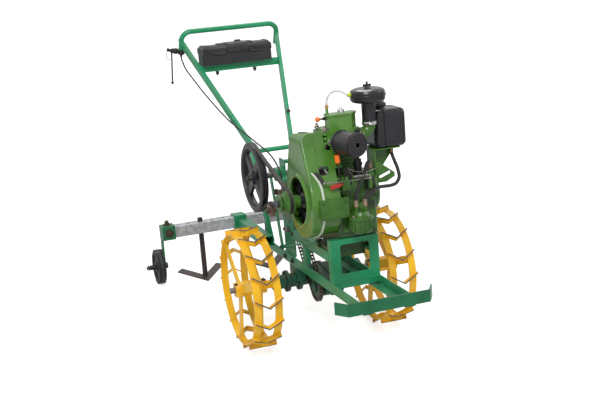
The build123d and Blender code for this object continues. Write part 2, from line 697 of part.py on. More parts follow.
def make_bracket():
    """The left depth wheel's bracket: a bolted cap on the toolbar's end, a stem and a pin."""
    half = TOOLBAR_SIDE / 2 + BRACKET_WALL
    hole = TOOLBAR_SIDE / 2 + RUNNING
    middle = -(BRACKET_OUTER + BRACKET_INNER) / 2
    top = TOOLBAR_Z + half
    front = TOOLBAR_Y - half
    cap = box(-BRACKET_OUTER, -BRACKET_INNER, front, TOOLBAR_Y + half, TOOLBAR_Z - half, top)
    cap = fillet(cap.edges().filter_by(Axis.X), BRACKET_WALL / 2)
    cap -= box(BRACKET_WALL - BRACKET_OUTER, 1 - BRACKET_INNER, TOOLBAR_Y - hole, TOOLBAR_Y + hole,
               TOOLBAR_Z - hole, TOOLBAR_Z + hole)
    cap += z_disc(BOLT_RADIUS + 4, top, top + 3, middle, TOOLBAR_Y)
    cap += z_disc(BOLT_RADIUS, top, top + 22, middle, TOOLBAR_Y)
    cap += rod((middle, front - 3, TOOLBAR_Z), (middle, front, TOOLBAR_Z), BOLT_RADIUS + 4)
    cap += rod((middle, front - 12, TOOLBAR_Z), (middle, front, TOOLBAR_Z), BOLT_RADIUS)
    pin_z = level_z(depth_y, DEPTH_RADIUS)
    stem_x = STEM_THICKNESS - BRACKET_OUTER
    stem = box(-BRACKET_OUTER, stem_x, depth_y - STEM_WIDTH / 2, depth_y + STEM_WIDTH / 2,
               pin_z - STEM_WIDTH / 2, TOOLBAR_Z - half)
    foot = stem.edges().filter_by(Axis.X).group_by(Axis.Z)[0]
    stem = fillet(foot, STEM_WIDTH / 2 - 1)
    wheel_face = -depth_x - DEPTH_WIDTH / 2
    end = wheel_face - DEPTH_PIN_REACH
    pin = x_disc(DEPTH_PIN, end, -BRACKET_OUTER, depth_y, pin_z)
    pin += x_disc(DEPTH_COLLAR, DEPTH_WIDTH / 2 - depth_x + SEAT, -BRACKET_OUTER, depth_y, pin_z)
    pin += x_disc(DEPTH_COLLAR, end + DEPTH_PIN, wheel_face - SEAT, depth_y, pin_z)
    pin += x_disc(DEPTH_COLLAR + 2, stem_x, stem_x + 10, depth_y, pin_z)
    return cap + stem + pin


def make_depth_wheel():
    """The left depth wheel, a solid tread on a dished disc with a hub."""
    half = DEPTH_WIDTH / 2
    rim = DEPTH_RADIUS - DEPTH_TREAD
    profile = [(DEPTH_PIN + RUNNING, -half), (DEPTH_HUB, -half), (DEPTH_HUB + 4, DEPTH_DISH - half),
               (rim - 4, DEPTH_DISH - half), (rim, -half), (DEPTH_RADIUS - 4, -half),
               (DEPTH_RADIUS, 5 - half), (DEPTH_RADIUS, half - 5), (DEPTH_RADIUS - 4, half),
               (rim, half), (rim - 4, half - DEPTH_DISH), (DEPTH_HUB + 4, half - DEPTH_DISH),
               (DEPTH_HUB, half), (DEPTH_PIN + RUNNING, half)]
    disc = Rot(Y=90) * z_turned(profile)
    return Pos(-depth_x, depth_y, level_z(depth_y, DEPTH_RADIUS)) * disc


def make_handle_side():
    """The left handle side: a leg up from the rail and the long rail back to the bow."""
    foot = Vector(-HANDLE_FOOT_X, HANDLE_FOOT_Y, RAIL_TOP)
    bend = Vector(-HANDLE_BEND_X, HANDLE_BEND_Y, HANDLE_BEND_Z)
    grip = Vector(-HANDLE_GRIP_X, HANDLE_GRIP_Y, HANDLE_GRIP_Z)
    up = (bend - foot).normalized()
    out = (grip - bend).normalized()
    leg = flat(foot - up * 30, bend + up * HANDLE_DEPTH * 0.3, HANDLE_DEPTH, HANDLE_THICKNESS)
    leg -= box(-400, 400, -400, 1400, -400, RAIL_TOP)
    rail = flat(bend - out * HANDLE_DEPTH * 0.3, grip, HANDLE_DEPTH, HANDLE_THICKNESS)
    return leg + rail


def bow_rise():
    """The way the bow's ends point, upwards."""
    return Vector(0, BOW_RISE_Y, BOW_RISE_Z).normalized()


def make_bow():
    """The handle's bow, a round tube bent over from one grip to the other."""
    grip = Vector(-HANDLE_GRIP_X, HANDLE_GRIP_Y, HANDLE_GRIP_Z)
    start = grip - bow_rise() * BOW_TAIL
    corner = grip + Vector(0, BOW_RISE_Y, BOW_RISE_Z)
    path = FilletPolyline(start, corner, (-corner.X, corner.Y, corner.Z), (-start.X, start.Y, start.Z),
                          radius=BOW_CORNER)
    return sweep(Plane(origin=start, z_dir=path % 0) * Circle(BOW_DIAMETER / 2), path=path)


def cross_point():
    """Where the cross-member meets the side rails' centre lines."""
    return (HANDLE_BEND_X + (HANDLE_GRIP_X - HANDLE_BEND_X) * CROSS_FRACTION,
            HANDLE_BEND_Y + (HANDLE_GRIP_Y - HANDLE_BEND_Y) * CROSS_FRACTION,
            HANDLE_BEND_Z + (HANDLE_GRIP_Z - HANDLE_BEND_Z) * CROSS_FRACTION)


def make_cross(sides):
    """The cross-member under the tool box, an angle with two holes for the box's bolts."""
    x, y, z = cross_point()
    top = z + CROSS_HEIGHT / 2
    front = y - CROSS_DEPTH / 2
    bar = box(-x, x, front, front + CROSS_WALL, z - CROSS_HEIGHT / 2, top)
    bar += box(-x, x, front, y + CROSS_DEPTH / 2, top - CROSS_WALL, top)
    for offset_x in (-BOX_BOLT_X, BOX_BOLT_X):
        bar -= z_disc(BOX_BOLT_RADIUS + RUNNING, top - CROSS_WALL - 1, top + 1,
                      BOX_X + offset_x, y + BOX_BOLT_BACK)
    return bar - sides


def make_tool_box():
    """The tool box: an open base bolted to the cross-member and a lid hinged at its front."""
    x, y, z = cross_point()
    bottom = z + CROSS_HEIGHT / 2
    split = bottom + BOX_BASE_HEIGHT
    left = BOX_X - BOX_LENGTH / 2
    right = BOX_X + BOX_LENGTH / 2
    front = y - BOX_DEPTH / 2
    back = y + BOX_DEPTH / 2
    base = box(left, right, front, back, bottom, split)
    base = fillet(base.edges().filter_by(Axis.Z), BOX_CORNER)
    base -= box(left + BOX_WALL, right - BOX_WALL, front + BOX_WALL, back - BOX_WALL,
                bottom + BOX_WALL, split + 1)
    for offset_x in (-BOX_BOLT_X, BOX_BOLT_X):
        nut = bottom - CROSS_WALL - SEAT
        base += z_disc(BOX_BOLT_RADIUS, nut - 10, bottom + BOX_WALL, BOX_X + offset_x, y + BOX_BOLT_BACK)
        base += z_disc(BOX_BOLT_RADIUS + 3, nut - 6, nut, BOX_X + offset_x, y + BOX_BOLT_BACK)
    low = split + LID_GAP
    top = low + BOX_LID_HEIGHT
    lid = box(left, right, front, back, low, top)
    lid = chamfer(lid.faces().sort_by(Axis.Z)[-1].edges(), BOX_CORNER)
    lid -= box(left + BOX_WALL, right - BOX_WALL, front + BOX_WALL, back - BOX_WALL, low - 1,
               top - BOX_CORNER)
    inset = BOX_LENGTH / 4
    panel = box(left + inset, right - inset, front + BOX_CORNER * 2, back - BOX_CORNER * 2,
                top, top + LID_PANEL)
    lid += fillet(panel.faces().sort_by(Axis.Z)[-1].edges(), LID_PANEL / 2)
    pin_y = front - KNUCKLE_RADIUS - 1
    for side in (-1, 1):
        near = BOX_X + side * HINGE_X
        far = BOX_X + side * (HINGE_X + HINGE_LENGTH)
        between = far - side * HINGE_LENGTH / 3
        x0, x1 = sorted((between + side * SEAT, far))
        base += x_disc(KNUCKLE_RADIUS, x0, x1, pin_y, split)
        base += box(x0, x1, pin_y, front, split - KNUCKLE_RADIUS, split)
        base += x_disc(LID_PIN / 2, *sorted((near, far)), pin_y, split)
        x0, x1 = sorted((near, between - side * SEAT))
        lid += x_disc(KNUCKLE_RADIUS, x0, x1, pin_y, split)
        lid += box(x0, x1, pin_y, front + 1, low, low + KNUCKLE_RADIUS)
        lid -= x_disc(LID_PIN / 2 + RUNNING, x0 - 1, x1 + 1, pin_y, split)
    return base, lid, (pin_y, split)


def make_engine():
    """The engine's castings: crankcase with feet, finned cylinder, head with rocker box."""
    skirt = PORTAL_TOP + 3
    case = box(BLOCK_LEFT, BLOCK_RIGHT, BLOCK_FRONT, BLOCK_REAR, skirt, BLOCK_TOP)
    case = fillet(case.edges().filter_by(Axis.Z), CASTING_ROUND)
    case = fillet(case.faces().sort_by(Axis.Z)[-1].edges(), CASTING_ROUND / 3)
    foot = PORTAL_HALF - ANGLE_THICKNESS - SEAT
    set_back = PORTAL_FRONT + PORTAL_DEPTH + 6
    sump = PORTAL_HALF - ANGLE_SIDE - SUMP_GAP
    case += box(-sump, sump, set_back, BLOCK_REAR, BEARER_TOP - 30, skirt)
    case += box(-foot, foot, set_back, BLOCK_REAR - 20, BEARER_TOP, BEARER_TOP + FOOT_HEIGHT)
    case += box(-FRAME_HALF - 1, -foot, ROD_END_Y - 10, ROD_END_Y + 10, BEARER_TOP, ROD_END_Z + 10)
    cover = box(BLOCK_LEFT + 18, BLOCK_RIGHT - 16, BLOCK_FRONT - COVER_THICKNESS, BLOCK_FRONT,
                skirt + 20, CRANK_Z)
    case += fillet(cover.edges().filter_by(Axis.Y), CASTING_ROUND / 2)
    strap_back = CRANK_Y - SHROUD_RADIUS - SHROUD_FLANGE - SEAT
    case += box(STRAP_LEFT, STRAP_RIGHT, strap_back - ANGLE_THICKNESS, strap_back, STRAP_BOTTOM, STRAP_TOP)
    case += box(STRAP_RIGHT - ANGLE_THICKNESS, STRAP_RIGHT, strap_back - ANGLE_THICKNESS, BLOCK_FRONT + 20,
                STRAP_BOTTOM, STRAP_TOP)
    case += box(GOVERNOR_X, GOVERNOR_X + 30, BLOCK_FRONT - GOVERNOR_REACH, BLOCK_FRONT + 8,
                BLOCK_TOP - 40, BLOCK_TOP - 8)
    case += box(PUMP_X - 16, PUMP_X + 16, BLOCK_FRONT - 2 * PUMP_OUT, BLOCK_FRONT + 8,
                BLOCK_TOP - 60, BLOCK_TOP - 4)
    case += z_disc(13, BLOCK_TOP - 8, BLOCK_TOP + PUMP_RISE, PUMP_X, BLOCK_FRONT - PUMP_OUT)
    x0 = BLOCK_RIGHT
    lid = [(x0 - 4, 0), (x0 - 4, COVER_RADIUS), (x0 + 6, COVER_RADIUS), (x0 + 6, COVER_RADIUS - 6),
           (x0 + 14, COVER_RADIUS - 8), (x0 + COVER_DEPTH, COVER_RADIUS - 18), (x0 + COVER_DEPTH, 0)]
    case += x_turned(lid, CRANK_Y, CRANK_Z)
    cylinder = z_disc(CYLINDER_RADIUS, BLOCK_TOP, HEAD_BOTTOM, CYLINDER_X, CYLINDER_Y)
    pitch = (HEAD_BOTTOM - BLOCK_TOP) / (FIN_COUNT + 1)
    for index in range(FIN_COUNT):
        z = BLOCK_TOP + (index + 1) * pitch
        cylinder += z_disc(FIN_RADIUS, z - FIN_THICKNESS / 2, z + FIN_THICKNESS / 2, CYLINDER_X, CYLINDER_Y)
    head = box(HEAD_LEFT, CYLINDER_X + FIN_RADIUS + 6, CYLINDER_Y - HEAD_HALF, CYLINDER_Y + HEAD_HALF,
               HEAD_BOTTOM, HEAD_TOP)
    head = fillet(head.edges().filter_by(Axis.Z), CASTING_ROUND / 2)
    for index in range(3):
        z = HEAD_BOTTOM + (index + 0.6) * (HEAD_TOP - HEAD_BOTTOM) / 3
        head -= box(HEAD_LEFT - 1, HEAD_LEFT + 14, CYLINDER_Y - HEAD_HALF - 1,
                    CYLINDER_Y + HEAD_HALF + 1, z, z + 7)
    rocker = box(ROCKER_LEFT, ROCKER_RIGHT, ROCKER_FRONT, ROCKER_REAR, HEAD_TOP, ROCKER_TOP - ROCKER_COVER)
    corner = rocker.edges().filter_by(Axis.Z).sort_by(lambda edge: edge.center().X - edge.center().Y)
    rocker = chamfer(corner[-1], ROCKER_CHAMFER)
    rocker = fillet(rocker.edges().filter_by(Axis.Z), 5)
    plate = box(ROCKER_LEFT - 3, ROCKER_RIGHT + 3, ROCKER_FRONT - 3, ROCKER_REAR + 3,
                ROCKER_TOP - ROCKER_COVER, ROCKER_TOP)
    corner = plate.edges().filter_by(Axis.Z).sort_by(lambda edge: edge.center().X - edge.center().Y)
    plate = chamfer(corner[-1], ROCKER_CHAMFER)
    plate = fillet(plate.edges().filter_by(Axis.Z), 6)
    nut = extrude(RegularPolygon(11, 6), amount=10)
    middle = ((ROCKER_LEFT + ROCKER_RIGHT) / 2, (ROCKER_FRONT + ROCKER_REAR) / 2)
    rocker += plate + Pos(*middle, ROCKER_TOP) * nut
    rocker += z_disc(6, ROCKER_TOP, ROCKER_TOP + BREATHER_RISE, ROCKER_LEFT + 10, ROCKER_REAR - 10)
    return case, cylinder, head + rocker


def neck_outline():
    """The fan shroud seen from its side: a circle with a neck rising to the cylinder."""
    neck = [(CRANK_Y, CRANK_Z), (NECK_REAR_FOOT, CRANK_Z + 34), (NECK_REAR, SHROUD_NECK_TOP - 61),
            (NECK_REAR - 17, SHROUD_NECK_TOP - 15), (NECK_FRONT, SHROUD_NECK_TOP),
            (NECK_FRONT_FOOT, CRANK_Z + NECK_FOOT_RISE)]
    return Pos(CRANK_Y, CRANK_Z) * Circle(SHROUD_RADIUS) + make_face(Polyline(*neck, close=True))


def neck_slab(grow, x0, x1):
    """The shroud's outline, grown or shrunk, as a slab from x0 to x1."""
    face = offset(neck_outline(), amount=grow) if grow else neck_outline()
    return Pos(x0, 0, 0) * extrude(Plane.YZ * face, amount=x1 - x0, dir=(1, 0, 0))


def shoulder(grow):
    """All the room under the shroud's rounded left shoulder."""
    left = SHROUD_FRONT - grow
    top = SHROUD_NECK_TOP + grow
    block = box(left, 0, -700, 0, 0, top)
    edge = block.edges().filter_by(Axis.Y).sort_by(lambda item: item.center().X - item.center().Z)[0]
    return fillet(edge, SHOULDER_RADIUS + grow)


def make_shroud():
    """The fan shroud: a round casing with a neck up to the cylinder and a lipped mouth."""
    joint = SHROUD_FRONT + SHROUD_FRONT_DEPTH
    front_part = neck_slab(0, SHROUD_FRONT, joint)
    front_part = fillet(front_part.faces().sort_by(Axis.X)[0].edges(), SHROUD_EDGE)
    body = front_part + neck_slab(-SHROUD_WALL, joint, BLOCK_LEFT)
    body += neck_slab(SHROUD_FLANGE, joint - SHROUD_WALL, joint + SHROUD_WALL)
    body &= shoulder(0)
    body -= box(HEAD_LEFT - SEAT, 0, NECK_FRONT_FOOT, 0, HEAD_BOTTOM - 20, SHROUD_NECK_TOP + 20)
    inner = neck_slab(-2 * SHROUD_WALL, SHROUD_FRONT + SHROUD_WALL, BLOCK_LEFT + 1)
    body -= inner & shoulder(-SHROUD_WALL)
    lip = SHROUD_HOLE + LIP_WIDTH
    front = SHROUD_FRONT - LIP_DEPTH
    ring = [(SHROUD_FRONT + SHROUD_WALL, SHROUD_HOLE), (front + 3, SHROUD_HOLE), (front, SHROUD_HOLE + 3),
            (front, lip - 8), (front + 3, lip - 4), (SHROUD_FRONT, lip), (SHROUD_FRONT + SHROUD_WALL, lip)]
    body += x_turned(ring, CRANK_Y, CRANK_Z)
    body -= x_disc(SHROUD_HOLE, front - 1, SHROUD_FRONT + SHROUD_WALL + 1, CRANK_Y, CRANK_Z)
    slot = box(SLOT_LEFT, SLOT_RIGHT, CRANK_Y - SHROUD_RADIUS, NECK_FRONT, SLOT_BOTTOM, SLOT_TOP)
    body -= fillet(slot.edges().filter_by(Axis.Y), (SLOT_TOP - SLOT_BOTTOM) / 2 - 1)
    lean = (NECK_FRONT - NECK_FRONT_FOOT) / (SHROUD_NECK_TOP - CRANK_Z - NECK_FOOT_RISE)
    foot = NECK_FRONT - (SHROUD_NECK_TOP - BAFFLE_BOTTOM) * lean + SHROUD_WALL + 1
    head = NECK_FRONT - (SHROUD_NECK_TOP - BAFFLE_TOP) * lean + SHROUD_WALL + 1
    baffle = [(foot, BAFFLE_BOTTOM), (head, BAFFLE_TOP), (head + SHROUD_WALL, BAFFLE_TOP),
              (foot + SHROUD_WALL, BAFFLE_BOTTOM)]
    return body + x_prism(baffle, BLOCK_LEFT, BLOCK_LEFT + BAFFLE_LENGTH)


def make_crank():
    """The crankshaft's end and the flywheel, with the fan's blades on its face."""
    disc = FLYWHEEL_FRONT + BLADE_DEPTH
    crank = x_disc(FLYWHEEL_RADIUS, disc, FLYWHEEL_BACK, CRANK_Y, CRANK_Z)
    crank -= x_disc(FLYWHEEL_DISH, disc + 14, FLYWHEEL_BACK + 1, CRANK_Y, CRANK_Z)
    blade = box(FLYWHEEL_FRONT, disc + 1, -2, 2, BLADE_ROOT, FLYWHEEL_RADIUS - 4)
    step = 360 / BLADE_COUNT
    crank += [Pos(0, CRANK_Y, CRANK_Z) * Rot(X=index * step) * blade for index in range(BLADE_COUNT)]
    cup = [(FLYWHEEL_FRONT - 4, 0), (FLYWHEEL_FRONT - 4, 30), (disc, 46), (disc + 1, 46), (disc + 1, 0)]
    crank += x_turned(cup, CRANK_Y, CRANK_Z)
    return crank + x_disc(CRANK_RADIUS, BELT_X - PULLEY_OUT - 8, BLOCK_LEFT, CRANK_Y, CRANK_Z)


def make_engine_pulley():
    """The engine's belt pulley, with a second small groove outside the large one."""
    left = BELT_X - PULLEY_OUT
    bore = CRANK_RADIUS + RUNNING
    step = ENGINE_PULLEY_RADIUS - PULLEY_STEP
    profile = [(left, bore), (left, step), (left + 6, step), (left + 12, step - 9), (left + 18, step),
               (left + 22, step), (BELT_X - 12, ENGINE_PULLEY_RADIUS), (BELT_X + 12, ENGINE_PULLEY_RADIUS),
               (BELT_X + 14, 24), (SHROUD_FRONT - 2, 24), (SHROUD_FRONT - 2, bore)]
    return x_turned(profile, CRANK_Y, CRANK_Z)


def make_big_pulley():
    """The big belt pulley: a grooved rim on four tapered spokes and a boss."""
    x0 = BELT_X - BIG_PULLEY_WIDTH / 2
    x1 = BELT_X + BIG_PULLEY_WIDTH / 2
    inner = BIG_PULLEY_RADIUS - BIG_PULLEY_RIM - BELT_DEPTH
    cheek = BELT_WIDTH / 2 + 4
    rim = [(x0, inner + 4), (x0, BIG_PULLEY_RADIUS - 9), (BELT_X - cheek, BIG_PULLEY_RADIUS),
           (BELT_X + cheek, BIG_PULLEY_RADIUS), (x1, BIG_PULLEY_RADIUS - 9), (x1, inner + 4),
           (BELT_X + PULLEY_WEB / 2, inner), (BELT_X - PULLEY_WEB / 2, inner)]
    spoke = [(PULLEY_BOSS - 8, SPOKE_ROOT), (inner + 4, SPOKE_TIP), (inner + 4, -SPOKE_TIP),
             (PULLEY_BOSS - 8, -SPOKE_ROOT)]
    arm = make_face(Polyline(*spoke, close=True))
    openings = Circle(inner - 2) - Circle(PULLEY_BOSS + 4)
    openings -= [Rot(Z=45 + 90 * index) * arm for index in range(4)]
    openings = fillet(openings.vertices(), PULLEY_ROUND)
    web = Circle(inner + 2) - openings
    wheel = Pos(BELT_X - PULLEY_WEB / 2, LAYSHAFT_Y, LAYSHAFT_Z) * extrude(
        Plane.YZ * web, amount=PULLEY_WEB, dir=(1, 0, 0))
    wheel += x_turned(rim, LAYSHAFT_Y, LAYSHAFT_Z)
    wheel += x_disc(PULLEY_BOSS, x0, x1 + 4, LAYSHAFT_Y, LAYSHAFT_Z)
    return wheel - x_disc(SHAFT_RADIUS + RUNNING, x0 - 1, x1 + 5, LAYSHAFT_Y, LAYSHAFT_Z)


belt_circles = [(LAYSHAFT_Y, LAYSHAFT_Z, BIG_PULLEY_RADIUS - BELT_DEPTH / 2, 1),
                (CRANK_Y, CRANK_Z, ENGINE_PULLEY_RADIUS - BELT_DEPTH / 2, 1),
                (IDLER_Y, IDLER_Z, IDLER_RADIUS + BELT_DEPTH / 2 + SEAT, -1)]
lower_run = chain_run([(COUNTER_Y, COUNTER_Z, LARGE_TEETH), (LOWER_Y, LOWER_Z, LARGE_TEETH)], LOWER_LINKS)
upper_run = chain_run([(LAYSHAFT_Y, LAYSHAFT_Z, SMALL_TEETH), (COUNTER_Y, COUNTER_Z, LARGE_TEETH)],
                      UPPER_LINKS)


def groove(circles, index, x):
    """The room that a belt takes in the pulley it runs on."""
    y, z, radius, side = circles[index]
    inner = radius - BELT_DEPTH / 2 - SEAT
    ring = x_disc(radius + BELT_DEPTH, x - BELT_WIDTH / 2 - SEAT, x + BELT_WIDTH / 2 + SEAT, y, z)
    return ring - x_disc(inner, x - BELT_WIDTH, x + BELT_WIDTH, y, z)


def make_shafts():
    """The layshaft and countershaft across the stand, with their sprockets."""
    reach = PORTAL_HALF + 10
    _, upper_circles, _, upper_first = upper_run
    _, lower_circles, _, lower_first = lower_run
    lay = x_disc(SHAFT_RADIUS, BELT_X - BIG_PULLEY_WIDTH / 2 - 6, reach + 30, LAYSHAFT_Y, LAYSHAFT_Z)
    lay += make_sprocket(SMALL_TEETH, upper_circles[0], upper_first[0], UPPER_CHAIN_X)
    lay += x_disc(SPROCKET_BOSS, UPPER_CHAIN_X, UPPER_CHAIN_X + 22, LAYSHAFT_Y, LAYSHAFT_Z)
    counter = x_disc(SHAFT_RADIUS, -reach, reach, COUNTER_Y, COUNTER_Z)
    counter += make_sprocket(LARGE_TEETH, upper_circles[1], upper_first[1], UPPER_CHAIN_X)
    counter += make_sprocket(LARGE_TEETH, lower_circles[0], lower_first[0], CHAIN_X)
    for x in (UPPER_CHAIN_X, CHAIN_X - 16):
        counter += x_disc(SPROCKET_BOSS, x, x + 16, COUNTER_Y, COUNTER_Z)
    return lay, counter


def make_gearbox():
    """The gearbox under the rails, with the axle's bearing housings and input sprocket."""
    top = RAIL_TOP - ANGLE_SIDE
    lobes = [(0, 0, GEARBOX_LOBE, 1), (LOWER_Y, LOWER_Z, INPUT_LOBE, 1)]
    body = make_face(Plane.YZ * loop_wire(lobes, 0))
    case = Pos(-GEARBOX_LEFT, 0, 0) * extrude(body, amount=GEARBOX_LEFT + GEARBOX_RIGHT, dir=(1, 0, 0))
    case = chamfer(case.faces().filter_by(Axis.X).edges(), 6)
    flange = make_face(Plane.YZ * loop_wire(lobes, 5))
    case += Pos(GEARBOX_SPLIT - 5, 0, 0) * extrude(flange, amount=10, dir=(1, 0, 0))
    case += x_disc(24, CHAIN_X - 14, GEARBOX_RIGHT + 10, LOWER_Y, LOWER_Z)
    _, circles, _, first = lower_run
    case += make_sprocket(LARGE_TEETH, circles[1], first[1], CHAIN_X)
    for index in range(LOBE_BOSSES):
        angle = radians(-70 + index * 140 / (LOBE_BOSSES - 1))
        case += x_disc(7, GEARBOX_SPLIT - 12, GEARBOX_SPLIT + 12, GEARBOX_LOBE * cos(angle),
                       GEARBOX_LOBE * sin(angle))
    housing = x_disc(HOUSING_RADIUS, -HOUSING_END, HOUSING_END)
    for x in HOUSING_FLANGES:
        flange = x_disc(HOUSING_FLANGE, -x - 12, -x)
        housing += flange + mirror_x(flange)
    foot = box(-FRAME_HALF, ANGLE_SIDE - FRAME_HALF, -44, 44, 0, top)
    case = case + housing + foot + mirror_x(foot)
    return case - x_disc(AXLE_DIAMETER / 2 + RUNNING, -HOUSING_END - 1, HOUSING_END + 1)


def cord_path(points):
    """A path through the points with each bend as round as its two runs allow."""
    spots = [Vector(*point) for point in points]
    radii = []
    for before, at, after in zip(spots, spots[1:], spots[2:]):
        turn_angle = (at - before).get_angle(after - at)
        shorter = min((at - before).length, (after - at).length)
        radii.append(0.45 * shorter / tan(radians(turn_angle) / 2))
    print("cord radii", [round(radius) for radius in radii])
    return FilletPolyline(*spots, radius=radii)


def cord_tube(points, radius):
    """A round cord along the points."""
    path = cord_path(points)
    return sweep(Plane(origin=path @ 0, z_dir=path % 0) * Circle(radius), path=path)


def make_idler():
    """The clutch idler: a pivoted bar with the wheel that tightens the belt, and its wire."""
    outer = ANGLE_THICKNESS - PORTAL_HALF
    pivot = x_disc(8, STOP_X - 4, outer, PIVOT_Y, PIVOT_Z)
    bar = flat((STOP_X, PIVOT_Y, PIVOT_Z), (STOP_X, IDLER_Y, IDLER_Z), 24, 8)
    bar += x_disc(12, STOP_X - 4, STOP_X + 4, PIVOT_Y, PIVOT_Z)
    bar += x_disc(12, STOP_X - 4, STOP_X + 4, IDLER_Y, IDLER_Z)
    wheel = x_disc(9, BELT_X - 14, STOP_X, IDLER_Y, IDLER_Z)
    wheel += x_disc(IDLER_RADIUS, BELT_X - 10, BELT_X + 10, IDLER_Y, IDLER_Z)
    wire_z = PIVOT_Z + (IDLER_Z - PIVOT_Z) * (PIVOT_Y - STOP_Y) / (PIVOT_Y - IDLER_Y)
    wire = z_disc(1.5, wire_z, STOP_Z - STOP_THICKNESS / 2, STOP_X, STOP_Y)
    return pivot + bar + wheel + wire


def make_control_arm():
    """The tall control arm beside the stand, with the rod from its foot to the engine."""
    half = 3.0
    arm = flat((ARM_X, ARM_FOOT_Y, ARM_FOOT_Z), (ARM_X, ARM_HEAD_Y, ARM_HEAD_Z), 25, 2 * half)
    for y, z in ((ARM_FOOT_Y, ARM_FOOT_Z), (ARM_HEAD_Y, ARM_HEAD_Z)):
        arm += x_disc(12.5, ARM_X - half, ARM_X + half, y, z)
    arm += x_disc(8, ARM_X - half - 6, ANGLE_THICKNESS - PORTAL_HALF, ARM_FOOT_Y, ARM_FOOT_Z)
    rod_x = -FRAME_HALF - 1 - ROD_RADIUS - SEAT
    return arm + rod((rod_x, ARM_FOOT_Y, ARM_FOOT_Z), (rod_x, ROD_END_Y, ROD_END_Z), ROD_RADIUS)


def make_clutch_lever(bow):
    """The clutch lever: a clamp on the left grip, a perch with its knob and a hanging lever."""
    rise = bow_rise()
    grip = Vector(-HANDLE_GRIP_X, HANDLE_GRIP_Y, HANDLE_GRIP_Z)
    foot = grip - rise * (BOW_TAIL + 2)
    clamp = rod(foot, grip - rise * (BOW_TAIL - 22), BOW_DIAMETER / 2 + 5) - bow
    middle = grip - rise * (BOW_TAIL - 9)
    perch = middle + Vector(-LEVER_OUT, LEVER_BACK, 4)
    clamp += rod(middle, perch, 8) - bow
    clamp += rod(perch, perch + Vector(-14, 0, 6), 6) + Pos(*(perch + Vector(-16, 0, 7))) * Sphere(9)
    end = perch + Vector(-4, 30, -LEVER_DROP)
    return clamp + flat(perch, end, 12, 5) + Pos(*end) * Sphere(7) - bow


def make_cable():
    """The clutch cable from the lever, beside the handle's left rail, to its stop."""
    rise = bow_rise()
    start = Vector(-HANDLE_GRIP_X, HANDLE_GRIP_Y, HANDLE_GRIP_Z) - rise * (BOW_TAIL + 2 + SEAT)
    points = [start, start - rise * 26, (-240, 1018, 838), (-225, 930, 790), (-203, 830, 727),
              (-178, 735, 672), (-153, 640, 620), (-134, 545, 590), (-126, 455, 574), (-127, 350, 562),
              (-129, 245, 552), (-131, 150, 544), (-133, 72, 528), (-135, 10, 503), (STOP_X, STOP_Y, 480),
              (STOP_X, STOP_Y, STOP_Z + SEAT)]
    return cord_tube(points, CABLE_RADIUS)


def make_air():
    """The oil-bath air cleaner on its stem and the elbow that joins it to the head."""
    band = (CLEANER_BOTTOM + CLEANER_TOP) / 2
    r = CLEANER_RADIUS
    wall = CLEANER_WALL
    outside = [(0, CLEANER_BOTTOM), (r - 16, CLEANER_BOTTOM), (r - 5, CLEANER_BOTTOM + 4),
               (r, CLEANER_BOTTOM + 12), (r, band - 4), (r + 3, band - 4), (r + 3, band + 2), (r, band + 2),
               (r, CLEANER_TOP - 16), (r - 5, CLEANER_TOP - 7), (r - 18, CLEANER_TOP - 2), (0, CLEANER_TOP)]
    inside = [(0, CLEANER_BOTTOM + wall), (r - 17, CLEANER_BOTTOM + wall), (r - wall, CLEANER_BOTTOM + 14),
              (r - wall, CLEANER_TOP - 17), (r - 20, CLEANER_TOP - 2 - wall), (0, CLEANER_TOP - wall)]
    cleaner = z_turned(outside, CLEANER_X, CLEANER_Y) - z_turned(inside, CLEANER_X, CLEANER_Y)
    nut = [(0, CLEANER_TOP - 1), (10, CLEANER_TOP - 1), (8, CLEANER_TOP + 8), (4, CLEANER_TOP + 10),
           (4, CLEANER_TOP + 24), (0, CLEANER_TOP + 24)]
    cleaner += z_turned(nut, CLEANER_X, CLEANER_Y)
    cleaner += box(CLEANER_X - 17, CLEANER_X + 17, CLEANER_Y - 1.5, CLEANER_Y + 1.5,
                   CLEANER_TOP + 4, CLEANER_TOP + 14)
    cleaner += x_disc(SPIGOT_RADIUS, CLEANER_X - r - SPIGOT_REACH, CLEANER_X - r + wall,
                      CLEANER_Y, band + SPIGOT_RISE)
    cleaner += z_disc(INTAKE_RADIUS, ELBOW_TOP, CLEANER_BOTTOM, CLEANER_X, CLEANER_Y)
    face = CYLINDER_X + FIN_RADIUS + 6
    path = FilletPolyline((CLEANER_X, CLEANER_Y, ELBOW_TOP), (CLEANER_X, CLEANER_Y, ELBOW_Z),
                          (face, CLEANER_Y, ELBOW_Z), radius=ELBOW_BEND)
    elbow = sweep(Plane(origin=path @ 0, z_dir=path % 0) * Circle(ELBOW_RADIUS), path=path)
    return cleaner, elbow


def make_muffler():
    """The muffler, a drum with rolled seams and its pipe to the cylinder head."""
    back = Vector(-sin(radians(MUFFLER_YAW)), cos(radians(MUFFLER_YAW)), 0)
    face = Vector(0, MUFFLER_FRONT, MUFFLER_Z)
    drum = rod(face, face + back * MUFFLER_LENGTH, MUFFLER_RADIUS)
    for start in (SEAM_INSET, MUFFLER_LENGTH - SEAM_INSET - SEAM_WIDTH):
        drum += rod(face + back * start, face + back * (start + SEAM_WIDTH), MUFFLER_RADIUS + SEAM_HEIGHT)
    drum -= rod(face + back * MUFFLER_WALL, face + back * (MUFFLER_LENGTH - MUFFLER_WALL),
                MUFFLER_RADIUS - MUFFLER_WALL)
    drum -= rod(face - back, face + back * (MUFFLER_WALL + 1), TAIL_RADIUS)
    port = CYLINDER_Y - HEAD_HALF
    pipe = rod(face + back * MUFFLER_LENGTH, face + back * (MUFFLER_LENGTH + 60), EXHAUST_RADIUS)
    return drum + (pipe - box(-300, 300, port, port + 200, HEAD_BOTTOM - 50, HEAD_TOP + 50))


